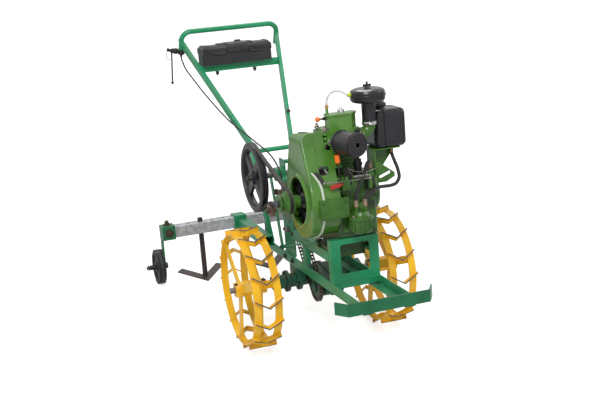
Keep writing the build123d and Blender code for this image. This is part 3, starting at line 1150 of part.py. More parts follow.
def make_filter():
    """The ribbed fuel filter pot on the crankcase, with its two unions."""
    rim = FILTER_TOP - 18
    profile = [(0, FILTER_BOTTOM), (FILTER_RADIUS - 10, FILTER_BOTTOM),
               (FILTER_RADIUS - 3, FILTER_BOTTOM + 6),
               (FILTER_RADIUS, rim - 12), (FILTER_RADIUS + 5, rim - 12), (FILTER_RADIUS + 5, rim),
               (FILTER_RADIUS - 8, rim + 5), (FILTER_RADIUS - 14, FILTER_TOP), (0, FILTER_TOP)]
    pot = z_turned(profile, FILTER_X, FILTER_Y)
    for index in range(FILTER_RIBS):
        angle = index * 360 / FILTER_RIBS
        rib = box(FILTER_RADIUS - 12, FILTER_RADIUS + 3, -1.5, 1.5, FILTER_BOTTOM + 12, rim - 12)
        pot += Pos(FILTER_X, FILTER_Y, 0) * Rot(Z=angle) * rib
    pot += box(FILTER_X - 20, FILTER_X + 20, FILTER_Y, BLOCK_FRONT - COVER_THICKNESS,
               FILTER_TOP - 50, FILTER_TOP - 20)
    for x in FILTER_UNIONS:
        pot += z_disc(HOSE_RADIUS - 1, FILTER_TOP - 2, FILTER_TOP + UNION_RISE, FILTER_X + x, FILTER_Y)
        nut = extrude(RegularPolygon(9, 6), amount=8)
        pot += Pos(FILTER_X + x, FILTER_Y, FILTER_TOP - 1) * nut
    return pot


def make_hoses():
    """The two fuel hoses between the filter, the tank and the injection pump."""
    top = FILTER_TOP + UNION_RISE + SEAT
    into = FILTER_X + FILTER_UNIONS[1]
    out = FILTER_X + FILTER_UNIONS[0]
    tank_x = TANK_RIGHT - TANK_UNION_X
    supply = [(into, FILTER_Y, top), (into, FILTER_Y, top + 26), (72, -500, 456),
              (105, -482, 466), (140, -455, 460), (180, -430, 452), (215, -412, 452), (239, -396, 472),
              (241, -376, 506), (238, -352, 536), (tank_x, TANK_UNION_Y, 562),
              (tank_x, TANK_UNION_Y, TANK_BOTTOM - SEAT)]
    pump_y = BLOCK_FRONT - PUMP_OUT
    pump_z = BLOCK_TOP + PUMP_RISE + SEAT
    pump = [(out, FILTER_Y, top), (out, FILTER_Y, top + 30), (6, -510, 468), (26, -507, 505), (46, -500, 538),
            (62, -486, 566), (PUMP_X, pump_y, pump_z + 30), (PUMP_X, pump_y, pump_z)]
    return cord_tube(supply, HOSE_RADIUS) + cord_tube(pump, HOSE_RADIUS)


def make_breather():
    """The clear breather hose from the rocker box to the air cleaner."""
    x = ROCKER_LEFT + 10
    y = ROCKER_REAR - 10
    start = ROCKER_TOP + BREATHER_RISE + SEAT
    end = CLEANER_X - CLEANER_RADIUS - SPIGOT_REACH - SEAT
    spigot_z = (CLEANER_BOTTOM + CLEANER_TOP) / 2 + SPIGOT_RISE
    points = [(x, y, start), (x, y, start + 20), (x + 6, y, start + 44), (x + 30, y, start + 62),
              (x + 60, y, start + 58), (end - 14, CLEANER_Y + 4, spigot_z + 8),
              (end - 8, CLEANER_Y, spigot_z), (end, CLEANER_Y, spigot_z)]
    return cord_tube(points, BREATHER_RADIUS)


def make_levers():
    """The engine's small controls: the stop lever, the throttle knob and the decompressor."""
    y = BLOCK_FRONT - GOVERNOR_REACH + 8
    z = BLOCK_TOP - 16
    stop = x_disc(5, GOVERNOR_X - 16, GOVERNOR_X, y, z)
    stop += flat((GOVERNOR_X - 8, y, z), (GOVERNOR_X - STOP_LEVER, y - 4, z - 6), 16, 7, (0, 1, 0))
    foot = Vector(GOVERNOR_X + 8, BLOCK_FRONT - 10, BLOCK_TOP - 8)
    knob = foot + Vector(-8, -4, KNOB_RISE)
    throttle = rod(foot - Vector(0, 0, 6), knob, 3) - box(-300, 300, -700, 0, 0, BLOCK_TOP - 8)
    throttle += rod(knob, knob + Vector(-2, 0, 28), 10)
    ball_z = ROCKER_TOP - ROCKER_COVER - 10
    ball_y = ROCKER_REAR - 12
    lift = x_disc(4, ROCKER_LEFT - 26, ROCKER_LEFT, ball_y, ball_z)
    lift += Pos(ROCKER_LEFT - 32, ball_y, ball_z) * Rot(Y=90) * Sphere(10)
    lift += x_disc(7, ROCKER_LEFT - 8, ROCKER_LEFT, ball_y, ball_z)
    return stop + throttle + lift


def make_tank():
    """The fuel tank with its seam and cap, and the bracket that carries it off the engine."""
    tank = box(TANK_LEFT, TANK_RIGHT, TANK_FRONT, TANK_REAR, TANK_BOTTOM, TANK_TOP)
    tank = fillet(tank.edges(), TANK_ROUND)
    room = box(TANK_LEFT + TANK_WALL, TANK_RIGHT - TANK_WALL, TANK_FRONT + TANK_WALL, TANK_REAR - TANK_WALL,
               TANK_BOTTOM + TANK_WALL, TANK_TOP - TANK_WALL)
    tank -= fillet(room.edges(), TANK_ROUND - TANK_WALL)
    seam = box(TANK_SEAM - 2, TANK_SEAM + 2, TANK_FRONT - 4, TANK_REAR + 4, TANK_BOTTOM, TANK_TOP + 4)
    seam = fillet(seam.edges().filter_by(Axis.X), TANK_ROUND)
    seam -= box(TANK_LEFT, TANK_RIGHT, TANK_FRONT + 1, TANK_REAR - 1, TANK_BOTTOM + 1, TANK_TOP - 1)
    cap_x = TANK_LEFT + 48
    cap_y = (TANK_FRONT + TANK_REAR) / 2
    cap = [(0, TANK_TOP - 1), (20, TANK_TOP - 1), (20, TANK_TOP + 6), (26, TANK_TOP + 6), (26, TANK_TOP + 20),
           (20, TANK_TOP + 26), (0, TANK_TOP + 26)]
    tank += seam + z_turned(cap, cap_x, cap_y)
    shelf = BLOCK_RIGHT + COVER_DEPTH
    tray_end = TANK_RIGHT - 30
    bracket = box(shelf, tray_end, TANK_FRONT + 8, TANK_REAR - 8, TANK_BOTTOM - ANGLE_THICKNESS, TANK_BOTTOM)
    bracket -= z_disc(HOSE_RADIUS + 3, TANK_BOTTOM - 6, TANK_BOTTOM + 1,
                      TANK_RIGHT - TANK_UNION_X, TANK_UNION_Y)
    back = CRANK_Y + BRACKET_HALF
    front = CRANK_Y - BRACKET_HALF
    bracket += box(shelf, shelf + 6, front, back, CRANK_Z, TANK_BOTTOM - ANGLE_THICKNESS)
    under = TANK_BOTTOM - ANGLE_THICKNESS
    web = make_face(Polyline((shelf, CRANK_Z), (tray_end, under), (shelf, under), close=True))
    bracket += Pos(0, back, 0) * extrude(Plane.XZ * web, amount=ANGLE_THICKNESS)
    plate = Polyline((shelf, 462), (shelf + 44, 462), (shelf + 82, 480), (shelf + 82, 496), (shelf + 14, 548),
                     (shelf, 548), close=True)
    plate = make_face(plate) - Pos(shelf + 40, 492) * Rot(Z=20) * SlotOverall(52, 12)
    bracket += Pos(0, front + ANGLE_THICKNESS, 0) * extrude(Plane.XZ * plate, amount=ANGLE_THICKNESS)
    return tank, bracket


shapes = {}


def add(name, shape, place=machine):
    """Keep a sub-part under its name, moved from the level drawing to its stance."""
    shapes[name] = place * shape


def add_pair(name, shape, place=machine):
    """Keep a left sub-part and its mirror image on the right."""
    add(name + "_left", shape, place)
    add(name + "_right", mirror_x(shape), place)


lifted = Pos(0, 0, axle_height)
add_pair("cage_wheel", make_wheel(), lifted)
add("axle", make_axle(), lifted)
add_pair("rail", make_rail())
add("bumper", make_bumper())
add("portal", make_portal())
add_pair("bearer", make_bearer())
add("layshaft_stand", make_stand())
add_pair("drawbar", make_arm())
add("toolbar", make_toolbar())
add("tynes", make_tynes(), Pos(0, 0, 0))
add_pair("depth_bracket", make_bracket())
add_pair("depth_wheel", make_depth_wheel())
bow = make_bow()
side = make_handle_side() - bow
both_sides = side + mirror_x(side)
add_pair("handle_side", side)
add("handle_bow", bow)
add("handle_cross", make_cross(both_sides))
leg_lean = (HANDLE_BEND_Y - HANDLE_FOOT_Y) / (HANDLE_BEND_Z - RAIL_TOP)
tube_y = HANDLE_BEND_Y - LOWER_TUBE_DROP * leg_lean
tube_z = HANDLE_BEND_Z - LOWER_TUBE_DROP
tube = x_disc(LOWER_TUBE_DIAMETER / 2, -HANDLE_BEND_X, HANDLE_BEND_X, tube_y, tube_z)
add("handle_tube", tube - both_sides)
base, lid, hinge = make_tool_box()
add("tool_box_base", base)
add("tool_box_lid", lid)
add("clutch_lever", make_clutch_lever(bow))
add("clutch_cable", make_cable())
case, cylinder, head = make_engine()
add("crankcase", case)
add("cylinder", cylinder)
add("cylinder_head", head)
add("fan_shroud", make_shroud())
add("flywheel", make_crank())
add("engine_pulley", make_engine_pulley() - groove(belt_circles, 1, BELT_X))
add("big_pulley", make_big_pulley() - groove(belt_circles, 0, BELT_X))
add("drive_belt", loop_band(belt_circles, BELT_WIDTH, BELT_DEPTH, BELT_X))
lay, counter = make_shafts()
add("layshaft", lay)
add("countershaft", counter)
add("chains", make_chain(lower_run, CHAIN_X) + make_chain(upper_run, UPPER_CHAIN_X))
add("gearbox", make_gearbox())
add("idler_arm", make_idler())
add("control_arm", make_control_arm())
cleaner, elbow = make_air()
add("air_cleaner", cleaner)
add("intake_elbow", elbow)
add("muffler", make_muffler())
add("fuel_filter", make_filter())
add("fuel_hoses", make_hoses())
add("breather_hose", make_breather())
add("control_levers", make_levers())
tank, bracket = make_tank()
add("fuel_tank", tank)
add("tank_bracket", bracket)

boxes = [shape.bounding_box() for shape in shapes.values()]
middle_x = (min(b.min.X for b in boxes) + max(b.max.X for b in boxes)) / 2
middle_y = (min(b.min.Y for b in boxes) + max(b.max.Y for b in boxes)) / 2
floor_z = min(b.min.Z for b in boxes)
print("centre", middle_x, middle_y, "floor", floor_z)
for name, shape in shapes.items():
    part = Pos(-middle_x, -middle_y, -floor_z) * shape
    export_step(part, f"parts/{name}.step")
pin = machine * Pos(0, *hinge)
print("nodes", len(shapes), "axle y", -middle_y, "axle z", axle_height)
print("lid hinge y", pin.position.Y - middle_y, "z", pin.position.Z)
pin = machine * Pos(0, depth_y, level_z(depth_y, DEPTH_RADIUS))
print("depth pin y", pin.position.Y - middle_y, "z", pin.position.Z)
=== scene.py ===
import json
import math

import bpy
import numpy as np
from mathutils import Euler, Matrix, Vector


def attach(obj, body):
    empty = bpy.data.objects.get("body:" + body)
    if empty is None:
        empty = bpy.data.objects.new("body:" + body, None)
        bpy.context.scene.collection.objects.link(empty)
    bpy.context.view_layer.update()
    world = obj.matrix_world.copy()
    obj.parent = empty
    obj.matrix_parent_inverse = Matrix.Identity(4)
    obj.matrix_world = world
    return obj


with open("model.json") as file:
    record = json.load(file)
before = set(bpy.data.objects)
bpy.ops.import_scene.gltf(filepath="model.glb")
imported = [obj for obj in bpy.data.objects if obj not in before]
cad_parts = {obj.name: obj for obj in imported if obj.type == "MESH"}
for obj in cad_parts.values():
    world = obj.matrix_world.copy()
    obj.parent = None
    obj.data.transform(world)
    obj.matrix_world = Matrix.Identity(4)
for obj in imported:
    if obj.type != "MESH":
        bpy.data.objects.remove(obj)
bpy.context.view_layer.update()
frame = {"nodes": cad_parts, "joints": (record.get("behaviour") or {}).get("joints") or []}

# The stage: a pale floor that shows white to the camera and keeps the machine's
# soft shadow, and a world of even light that looks white behind everything.
FLOOR_HALF = 30.0
floor_corners = [(x * FLOOR_HALF, y * FLOOR_HALF, 0) for x, y in ((-1, -1), (1, -1), (1, 1), (-1, 1))]
floor_mesh = bpy.data.meshes.new("studio_floor")
floor_mesh.from_pydata(floor_corners, [], [(0, 1, 2, 3)])
studio_floor = bpy.data.objects.new("studio_floor", floor_mesh)
bpy.context.scene.collection.objects.link(studio_floor)
floor_look = bpy.data.materials.new("studio_floor")
floor_look.use_nodes = True
floor_tree = floor_look.node_tree
floor_tree.nodes.clear()
matt = floor_tree.nodes.new("ShaderNodeBsdfDiffuse")
matt.inputs["Color"].default_value = (0.8, 0.8, 0.8, 1)
seen = floor_tree.nodes.new("ShaderNodeLightPath")
lift = floor_tree.nodes.new("ShaderNodeEmission")
lift.inputs["Color"].default_value = (0.62, 0.62, 0.62, 1)
floor_tree.links.new(seen.outputs["Is Camera Ray"], lift.inputs["Strength"])
both = floor_tree.nodes.new("ShaderNodeAddShader")
floor_tree.links.new(matt.outputs["BSDF"], both.inputs[0])
floor_tree.links.new(lift.outputs["Emission"], both.inputs[1])
floor_out = floor_tree.nodes.new("ShaderNodeOutputMaterial")
floor_tree.links.new(both.outputs["Shader"], floor_out.inputs["Surface"])
floor_mesh.materials.append(floor_look)

world = bpy.data.worlds.new("studio_world")
bpy.context.scene.world = world
world.use_nodes = True
world_tree = world.node_tree
sky = world_tree.nodes["Background"]
sky.inputs["Color"].default_value = (0.44, 0.45, 0.46, 1)
white = world_tree.nodes.new("ShaderNodeBackground")
white.inputs["Color"].default_value = (1, 1, 1, 1)
rays = world_tree.nodes.new("ShaderNodeLightPath")
straight = world_tree.nodes.new("ShaderNodeMath")
straight.operation = "MAXIMUM"
world_tree.links.new(rays.outputs["Is Camera Ray"], straight.inputs[0])
world_tree.links.new(rays.outputs["Is Glossy Ray"], straight.inputs[1])
through = world_tree.nodes.new("ShaderNodeMath")
through.operation = "MAXIMUM"
world_tree.links.new(straight.outputs[0], through.inputs[0])
world_tree.links.new(rays.outputs["Is Transmission Ray"], through.inputs[1])
choice = world_tree.nodes.new("ShaderNodeMixShader")
world_tree.links.new(through.outputs[0], choice.inputs[0])
world_tree.links.new(sky.outputs["Background"], choice.inputs[1])
world_tree.links.new(white.outputs["Background"], choice.inputs[2])
world_tree.links.new(choice.outputs["Shader"], world_tree.nodes["World Output"].inputs["Surface"])
bpy.context.scene.view_settings.view_transform = "Standard"

# The camera stands where the photograph was taken from: in front and to the left
# of the machine, a little above the engine, looking down on it.
AXLE_Y = frame["joints"][0]["pos_m"][1]
AXLE_Z = frame["joints"][0]["pos_m"][2]
PHOTO_RIGHT = Vector((0.9346, -0.3557, 0.0))
PHOTO_UP = Vector((0.1487, 0.3905, 0.9085))
PHOTO_FORWARD = Vector((0.3232, 0.8490, -0.4179))
PHOTO_FOCAL_PIXELS = 1131.46
PHOTO_WIDTH_PIXELS = 612
CAMERA_LEFT, CAMERA_RISE, CAMERA_BACK = 0.0472, 0.3094, 4.903
axle_centre = Vector((0.0, AXLE_Y, AXLE_Z))
camera_data = bpy.data.cameras.new("photo_camera")
camera_data.sensor_width = 36.0
camera_data.lens = PHOTO_FOCAL_PIXELS / PHOTO_WIDTH_PIXELS * camera_data.sensor_width
camera_data.clip_end = 100
photo_camera = bpy.data.objects.new("photo_camera", camera_data)
camera_turn = Matrix((PHOTO_RIGHT, PHOTO_UP, -PHOTO_FORWARD)).transposed()
camera_place = axle_centre - CAMERA_LEFT * PHOTO_RIGHT + CAMERA_RISE * PHOTO_UP - CAMERA_BACK * PHOTO_FORWARD
photo_camera.matrix_world = Matrix.Translation(camera_place) @ camera_turn.to_4x4()
bpy.context.scene.collection.objects.link(photo_camera)
bpy.context.scene.camera = photo_camera

# Soft lamps: a broad key from the front left above, a weaker one from the right that
# keeps the far sides of the castings readable, and one behind for the upper edges.
for lamp_name, lamp_place, lamp_size, lamp_power in (
        ("key_light", (-1.6, -2.6, 4.2), 1.5, 135), ("fill_light", (3.6, -1.6, 2.6), 2.5, 30),
        ("back_light", (0.8, 3.0, 3.8), 1.8, 60)):
    lamp_data = bpy.data.lights.new(lamp_name, "AREA")
    lamp_data.energy = lamp_power
    lamp_data.size = lamp_size
    lamp = bpy.data.objects.new(lamp_name, lamp_data)
    aim = Vector(lamp_place) - Vector((0, -0.2, 0.5))
    lamp.matrix_world = Matrix.Translation(lamp_place) @ aim.to_track_quat("Z", "Y").to_matrix().to_4x4()
    bpy.context.scene.collection.objects.link(lamp)


# The frame: rails, portal, bearers, stand and drawbar, cut from angle iron and flat,
# welded, and brushed with green paint that is chipped to grey metal at the edges.
def shade(tree, kind, settings=None, **inputs):
    """Adds one shader node, its inputs given as values or as other nodes' outputs."""
    made = tree.nodes.new(kind)
    for key, value in (settings or {}).items():
        setattr(made, key, value)
    for key, value in inputs.items():
        socket = made.inputs[int(key[1:]) if key in ("i0", "i1") else key.replace("_", " ")]
        if isinstance(value, bpy.types.NodeSocket):
            tree.links.new(value, socket)
        else:
            socket.default_value = value
    return made


def blend_colours(tree, amount, first, second, how="MIX"):
    """Mixes two colours by an amount and gives the mixed colour's socket."""
    mixed = tree.nodes.new("ShaderNodeMix")
    mixed.data_type = "RGBA"
    mixed.blend_type = how
    for socket, value in ((mixed.inputs[0], amount), (mixed.inputs[6], first), (mixed.inputs[7], second)):
        if isinstance(value, bpy.types.NodeSocket):
            tree.links.new(value, socket)
        elif isinstance(value, tuple):
            socket.default_value = (*value, 1)
        else:
            socket.default_value = value
    return mixed.outputs[2]


def ramp(tree, value, low, high):
    """Stretches a value so that low gives 0 and high gives 1, with soft ends."""
    spread = shade(tree, "ShaderNodeMapRange", {"interpolation_type": "SMOOTHSTEP"}, Value=value)
    spread.inputs["From Min"].default_value = low
    spread.inputs["From Max"].default_value = high
    return spread.outputs["Result"]


def sums(tree, operation, first, second=0.0):
    """One step of arithmetic on one or two values."""
    return shade(tree, "ShaderNodeMath", {"operation": operation}, i0=first, i1=second).outputs[0]


def product(tree, first, second):
    """Two values multiplied."""
    return sums(tree, "MULTIPLY", first, second)


def on_object(tree):
    """The spot on the object, in metres along its own X, Y and Z."""
    return shade(tree, "ShaderNodeTexCoord").outputs["Object"]


def noise(tree, place, scale, detail, roughness=0.5):
    """A cloudy value round 0.5 whose lumps are about 1 / scale across."""
    return shade(tree, "ShaderNodeTexNoise", Vector=place, Scale=scale, Detail=detail,
                 Roughness=roughness).outputs[0]


def between(tree, value, low, high, soft):
    """Gives 1 from low to high, and fades to 0 over soft on either side."""
    return product(tree, ramp(tree, value, low - soft, low), ramp(tree, value, high + soft, high))


def worn_look(name, colour, second, bare, edge_mm=1.6, chips=0.5, gloss=0.38, grain=260.0, depth=0.25,
              dust=0.12, metal=0.0, bare_metal=0.6, mirror=0.4):
    """A painted or plain surface: two tones of colour, bare material along the edges
    where the rounded normal leaves the flat one, dust on what faces up, and a fine
    bump. The colour and roughness stay open to more layers."""
    look = bpy.data.materials.new(name)
    look.use_nodes = True
    tree = look.node_tree
    shader = tree.nodes["Principled BSDF"]
    shader.inputs["Specular IOR Level"].default_value = mirror
    place = on_object(tree)
    broad = noise(tree, place, 9.0, 5.0, 0.6)
    middle = noise(tree, place, 70.0, 6.0, 0.65)
    fine = noise(tree, place, grain, 4.0, 0.6)
    tone = blend_colours(tree, ramp(tree, broad, 0.35, 0.68), colour, second)
    mottle = blend_colours(tree, ramp(tree, fine, 0.25, 0.85), (0.90, 0.90, 0.90), (1.07, 1.07, 1.07))
    tone = blend_colours(tree, 1.0, tone, mottle, "MULTIPLY")
    rounded = shade(tree, "ShaderNodeBevel", {"samples": 4}, Radius=edge_mm / 1000)
    surface = shade(tree, "ShaderNodeNewGeometry")
    turned_by = shade(tree, "ShaderNodeVectorMath", {"operation": "DOT_PRODUCT"},
                      i0=rounded.outputs[0], i1=surface.outputs["True Normal"]).outputs["Value"]
    edge = ramp(tree, turned_by, 0.97, 0.84)
    torn = product(tree, edge, ramp(tree, middle, 0.62 - 0.3 * chips, 0.70))
    spots = ramp(tree, middle, 0.80 - 0.10 * chips, 0.84 - 0.08 * chips)
    worn = sums(tree, "MAXIMUM", torn, spots)
    up = shade(tree, "ShaderNodeSeparateXYZ", Vector=surface.outputs["Normal"]).outputs["Z"]
    settled = product(tree, ramp(tree, up, 0.55, 1.0), ramp(tree, broad, 0.3, 0.7))
    settled = product(tree, settled, dust)
    tone = blend_colours(tree, settled, tone, (0.33, 0.29, 0.22))
    tone = blend_colours(tree, worn, tone, bare)
    rough = sums(tree, "ADD", product(tree, middle, 0.25), gloss - 0.08)
    rough = sums(tree, "ADD", rough, product(tree, settled, 0.6))
    lumps = shade(tree, "ShaderNodeBump", Height=fine, Strength=depth, Distance=0.0006,
                  Normal=rounded.outputs[0])
    step = shade(tree, "ShaderNodeBump", {"invert": True}, Height=worn, Strength=0.5, Distance=0.0003,
                 Normal=lumps.outputs[0])
    tree.links.new(tone, shader.inputs["Base Color"])
    tree.links.new(rough, shader.inputs["Roughness"])
    tree.links.new(step.outputs[0], shader.inputs["Normal"])
    if metal == bare_metal:
        shader.inputs["Metallic"].default_value = metal
    else:
        plated = shade(tree, "ShaderNodeMapRange", Value=worn)
        plated.inputs["To Min"].default_value = metal
        plated.inputs["To Max"].default_value = bare_metal
        tree.links.new(plated.outputs["Result"], shader.inputs["Metallic"])
    return look


def over(look, amount, colour, roughness=None):
    """Lays one more colour over a look where the amount says so."""
    tree = look.node_tree
    shader = tree.nodes["Principled BSDF"]
    base = shader.inputs["Base Color"]
    tree.links.new(blend_colours(tree, amount, base.links[0].from_socket, colour), base)
    if roughness is not None:
        rough = shader.inputs["Roughness"]
        step = shade(tree, "ShaderNodeMix", i0=amount)
        tree.links.new(rough.links[0].from_socket, step.inputs[2])
        step.inputs[3].default_value = roughness
        tree.links.new(step.outputs[0], rough)


def wear(look, *names):
    """Gives CAD nodes' objects this look."""
    for name in names:
        mesh = frame["nodes"][name].data
        mesh.materials.clear()
        mesh.materials.append(look)


# Places are given in millimetres with the rails level, from the wheels' axle, as the
# machine is drawn; level turns them to its stance, nose up on its wheels.
NOSE_UP = math.radians(12.0)
lifted = Matrix.Translation((0, AXLE_Y, AXLE_Z)) @ Matrix.Scale(0.001, 4)
level = lifted @ Matrix.Rotation(-NOSE_UP, 4, "X")
UP, FRONT, LEFT, RIGHT = (0, 0, 1), (0, -1, 0), (-1, 0, 0), (1, 0, 0)


def level_spot(tree):
    """The Object coordinates turned back to the level drawing's millimetres: X, Y, Z."""
    turn = Euler((NOSE_UP, 0, 0))
    shift = turn.to_matrix() @ Vector((0, -AXLE_Y, -AXLE_Z)) * 1000
    place = on_object(tree)
    turned_back = shade(tree, "ShaderNodeMapping", Vector=place, Location=shift, Rotation=turn,
                        Scale=(1000, 1000, 1000))
    return shade(tree, "ShaderNodeSeparateXYZ", Vector=turned_back.outputs[0]).outputs


def reach_from(tree, first, second, at_first, at_second):
    """The distance of two coordinates from a point."""
    here = shade(tree, "ShaderNodeCombineXYZ", X=first, Y=second).outputs[0]
    return shade(tree, "ShaderNodeVectorMath", {"operation": "DISTANCE"}, i0=here,
                 i1=(at_first, at_second, 0)).outputs["Value"]


frame_green = worn_look("frame_green", (0.020, 0.265, 0.110), (0.011, 0.185, 0.075), (0.22, 0.25, 0.23),
                        chips=0.35, gloss=0.30)
wear(frame_green, "rail_left", "rail_right", "portal", "bearer_left", "bearer_right",
     "layshaft_stand", "drawbar_left", "drawbar_right", "control_arm")
bumper_green = worn_look("bumper_green", (0.011, 0.150, 0.060), (0.008, 0.105, 0.042), (0.22, 0.25, 0.23),
                         chips=0.35, gloss=0.26)
wear(bumper_green, "bumper")


def stood(rings, foot, axis):
    """Rings drawn round +Z, turned to stand along the axis and moved to the foot."""
    along = np.array(axis, float) / np.linalg.norm(axis)
    side = np.cross(UP if abs(along[2]) < 0.9 else RIGHT, along)
    side /= np.linalg.norm(side)
    return np.array(foot, float) + rings @ np.stack((side, np.cross(along, side), along))


def turned(profile, foot, axis, sides=24):
    """A profile of (radius, height) round an axis: x = r cos a, y = r sin a, z = height."""
    radius, height = np.array(profile, float).T
    angle = np.arange(sides) * 2 * np.pi / sides
    rings = np.stack((np.outer(radius, np.cos(angle)), np.outer(radius, np.sin(angle)),
                      np.repeat(height[:, None], sides, 1)), -1)
    return stood(rings, foot, axis)


def bolt(foot, axis, across=13.0):
    """A hexagon head on its washer; across is the head's width over its flats."""
    corner = across / math.sqrt(3)
    washer = [(across * 0.95, -0.3), (across * 0.95, 1.4), (across * 0.88, 1.8)]
    head = [(corner, 1.4), (corner, across * 0.55), (corner * 0.84, across * 0.66)]
    return [turned(washer, foot, axis), turned(head, foot, axis, 6)]


def tube(path, radius, sides=10, reference=(0.31, 0.22, 0.93)):
    """A round section along a path: at each point its ring lies square to the path."""
    path = np.array(path, float)
    along = np.gradient(path, axis=0)
    along /= np.linalg.norm(along, axis=1, keepdims=True)
    side = np.cross(reference, along)
    side /= np.linalg.norm(side, axis=1, keepdims=True)
    angle = np.arange(sides)[:, None] * 2 * np.pi / sides
    spread = np.cos(angle) * side[:, None] + np.sin(angle) * np.cross(along, side)[:, None]
    return path[:, None] + np.broadcast_to(radius, len(path))[:, None, None] * spread


def bead(start, end, width=6.0):
    """A weld bead: a tube from start to end whose radius swells and shrinks in ripples."""
    start, end = np.array(start, float), np.array(end, float)
    steps = max(int(np.linalg.norm(end - start) / 2.5), 4)
    share = np.linspace(0, 1, steps + 1)[:, None]
    swell = np.where(np.arange(steps + 1) % 2, 0.42, 0.54) * width
    swell[[0, -1]] *= 0.5
    return tube(start + share * (end - start), swell, 7)


def mirrored(shapes):
    """Mirror images on the other side: x becomes -x and the rings run the other way."""
    return [shape[:, ::-1] * (-1, 1, 1) for shape in shapes]


def both_sides(shapes):
    """Shapes and their mirror images."""
    return shapes + mirrored(shapes)


def build(name, shapes, look, body="frame", place=level, sharp=32.0):
    """Skins each stack of rings with four-sided faces and closes its ends. A stack
    whose last ring is its first closes on itself. The piece gets its look and body."""
    corners, faces, start = [], [], 0
    for rings in shapes:
        looped = np.allclose(rings[0], rings[-1])
        rings = rings[:-1] if looped else rings
        count, sides = rings.shape[:2]
        ring, spot = np.meshgrid(np.arange(count if looped else count - 1), np.arange(sides), indexing="ij")
        after, beside = (ring + 1) % count, (spot + 1) % sides
        quads = np.stack((ring * sides + spot, ring * sides + beside, after * sides + beside,
                          after * sides + spot), -1)
        faces += (quads.reshape(-1, 4) + start).tolist()
        if not looped:
            faces.append((start + np.arange(sides)[::-1]).tolist())
            faces.append((start + (count - 1) * sides + np.arange(sides)).tolist())
        corners.append(rings.reshape(-1, 3))
        start += count * sides
    mesh = bpy.data.meshes.new(name)
    mesh.from_pydata(np.concatenate(corners).tolist(), [], faces)
    mesh.transform(place)
    mesh.polygons.foreach_set("use_smooth", np.ones(len(mesh.polygons), bool))
    mesh.set_sharp_from_angle(angle=math.radians(sharp))
    mesh.materials.append(look)
    piece = bpy.data.objects.new(name, mesh)
    bpy.context.scene.collection.objects.link(piece)
    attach(piece, body)


RAIL_X, RAIL_TOP, PORTAL_Y, PORTAL_X = 105, 105, -463, 101
frame_seams = both_sides([
    bead((-PORTAL_X, PORTAL_Y, RAIL_TOP), (-62, PORTAL_Y, RAIL_TOP)),
    bead((-PORTAL_X, PORTAL_Y + 2, RAIL_TOP), (-PORTAL_X, PORTAL_Y + 34, RAIL_TOP)),
    bead((-100, PORTAL_Y, 80), (-100, PORTAL_Y, 104)),
    bead((-PORTAL_X, PORTAL_Y + 34, 186), (-PORTAL_X, PORTAL_Y + 34, 224)),
    bead((-PORTAL_X, -168, RAIL_TOP), (-PORTAL_X, -128, RAIL_TOP)),
    bead((-PORTAL_X, -168, 185), (-PORTAL_X, -128, 185)),
    bead((-96, -19, RAIL_TOP), (-96, 109, RAIL_TOP)),
    bead((-97, -20, 187), (-97, -20, 224)),
    bead((-RAIL_X, 241, RAIL_TOP), (-RAIL_X, 329, RAIL_TOP)),
    bead((-154, 627, 98), (-154, 627, 140)), bead((-106, 627, 98), (-106, 627, 140)),
    bead((-RAIL_X, -768, 67), (-RAIL_X, -768, 104)), bead((-96, -20, 455), (-96, 36, 455), 4.0),
    bead((-92, 300, RAIL_TOP), (-92, 332, RAIL_TOP)), bead((-104, 290, RAIL_TOP), (-104, 326, RAIL_TOP))])
build("frame_seams", frame_seams, frame_green)

dark_bolt = worn_look("dark_bolt", (0.035, 0.030, 0.028), (0.075, 0.050, 0.035), (0.20, 0.17, 0.14),
                      edge_mm=0.8, chips=0.7, gloss=0.40, grain=600.0, depth=0.3, metal=0.6, bare_metal=0.6)
frame_bolts = []
for y in (-2, 92):
    frame_bolts += bolt((-RAIL_X, y, 86), LEFT, 14)
for y in (-28, 28):
    frame_bolts += bolt((-85, y, 70), UP, 14)
for y, z in ((-6, 204), (95, 204)):
    frame_bolts += bolt((-96, y, z), LEFT, 13)
frame_bolts += bolt((-140, 694.5, 127), (0, 1, 0), 17)
build("frame_bolts", both_sides(frame_bolts), dark_bolt)

# The depth wheels' brackets: a darker coat of the frame's green, with a black pin that
# the small wheel turns on, one wheel radius above the floor, and dark hexagon bolts
# that clamp the cap to the toolbar.
DEPTH_WHEEL_RADIUS, CHEEK_X, PIN_RADIUS, PIN_Y = 80.0, 518.0, 15.0, 676.0
PIN_Z = (DEPTH_WHEEL_RADIUS / 1000 - AXLE_Z) * 1000 / math.cos(NOSE_UP) + PIN_Y * math.tan(NOSE_UP)
bracket_green = worn_look("bracket_green", (0.014, 0.185, 0.075), (0.008, 0.115, 0.045), (0.18, 0.19, 0.17),
                          chips=0.5, gloss=0.34)
tree = bracket_green.node_tree
spot = level_spot(tree)
beside = sums(tree, "ABSOLUTE", sums(tree, "SUBTRACT", sums(tree, "ABSOLUTE", spot["X"]), CHEEK_X))
from_pin = reach_from(tree, spot["Y"], spot["Z"], PIN_Y, PIN_Z)
pin = product(tree, ramp(tree, from_pin, PIN_RADIUS + 0.5, PIN_RADIUS), ramp(tree, beside, 4.0, 4.4))
over(bracket_green, pin, (0.018, 0.018, 0.020), 0.4)
wear(bracket_green, "depth_bracket_left", "depth_bracket_right")
bracket_bolts = bolt((-491, 624.8, 127), FRONT, 21) + bolt((-491, 661, 163.2), UP, 21)
bracket_bolts += bolt((-595, PIN_Y, PIN_Z), LEFT, 15)
build("bracket_bolts", both_sides(bracket_bolts), dark_bolt)

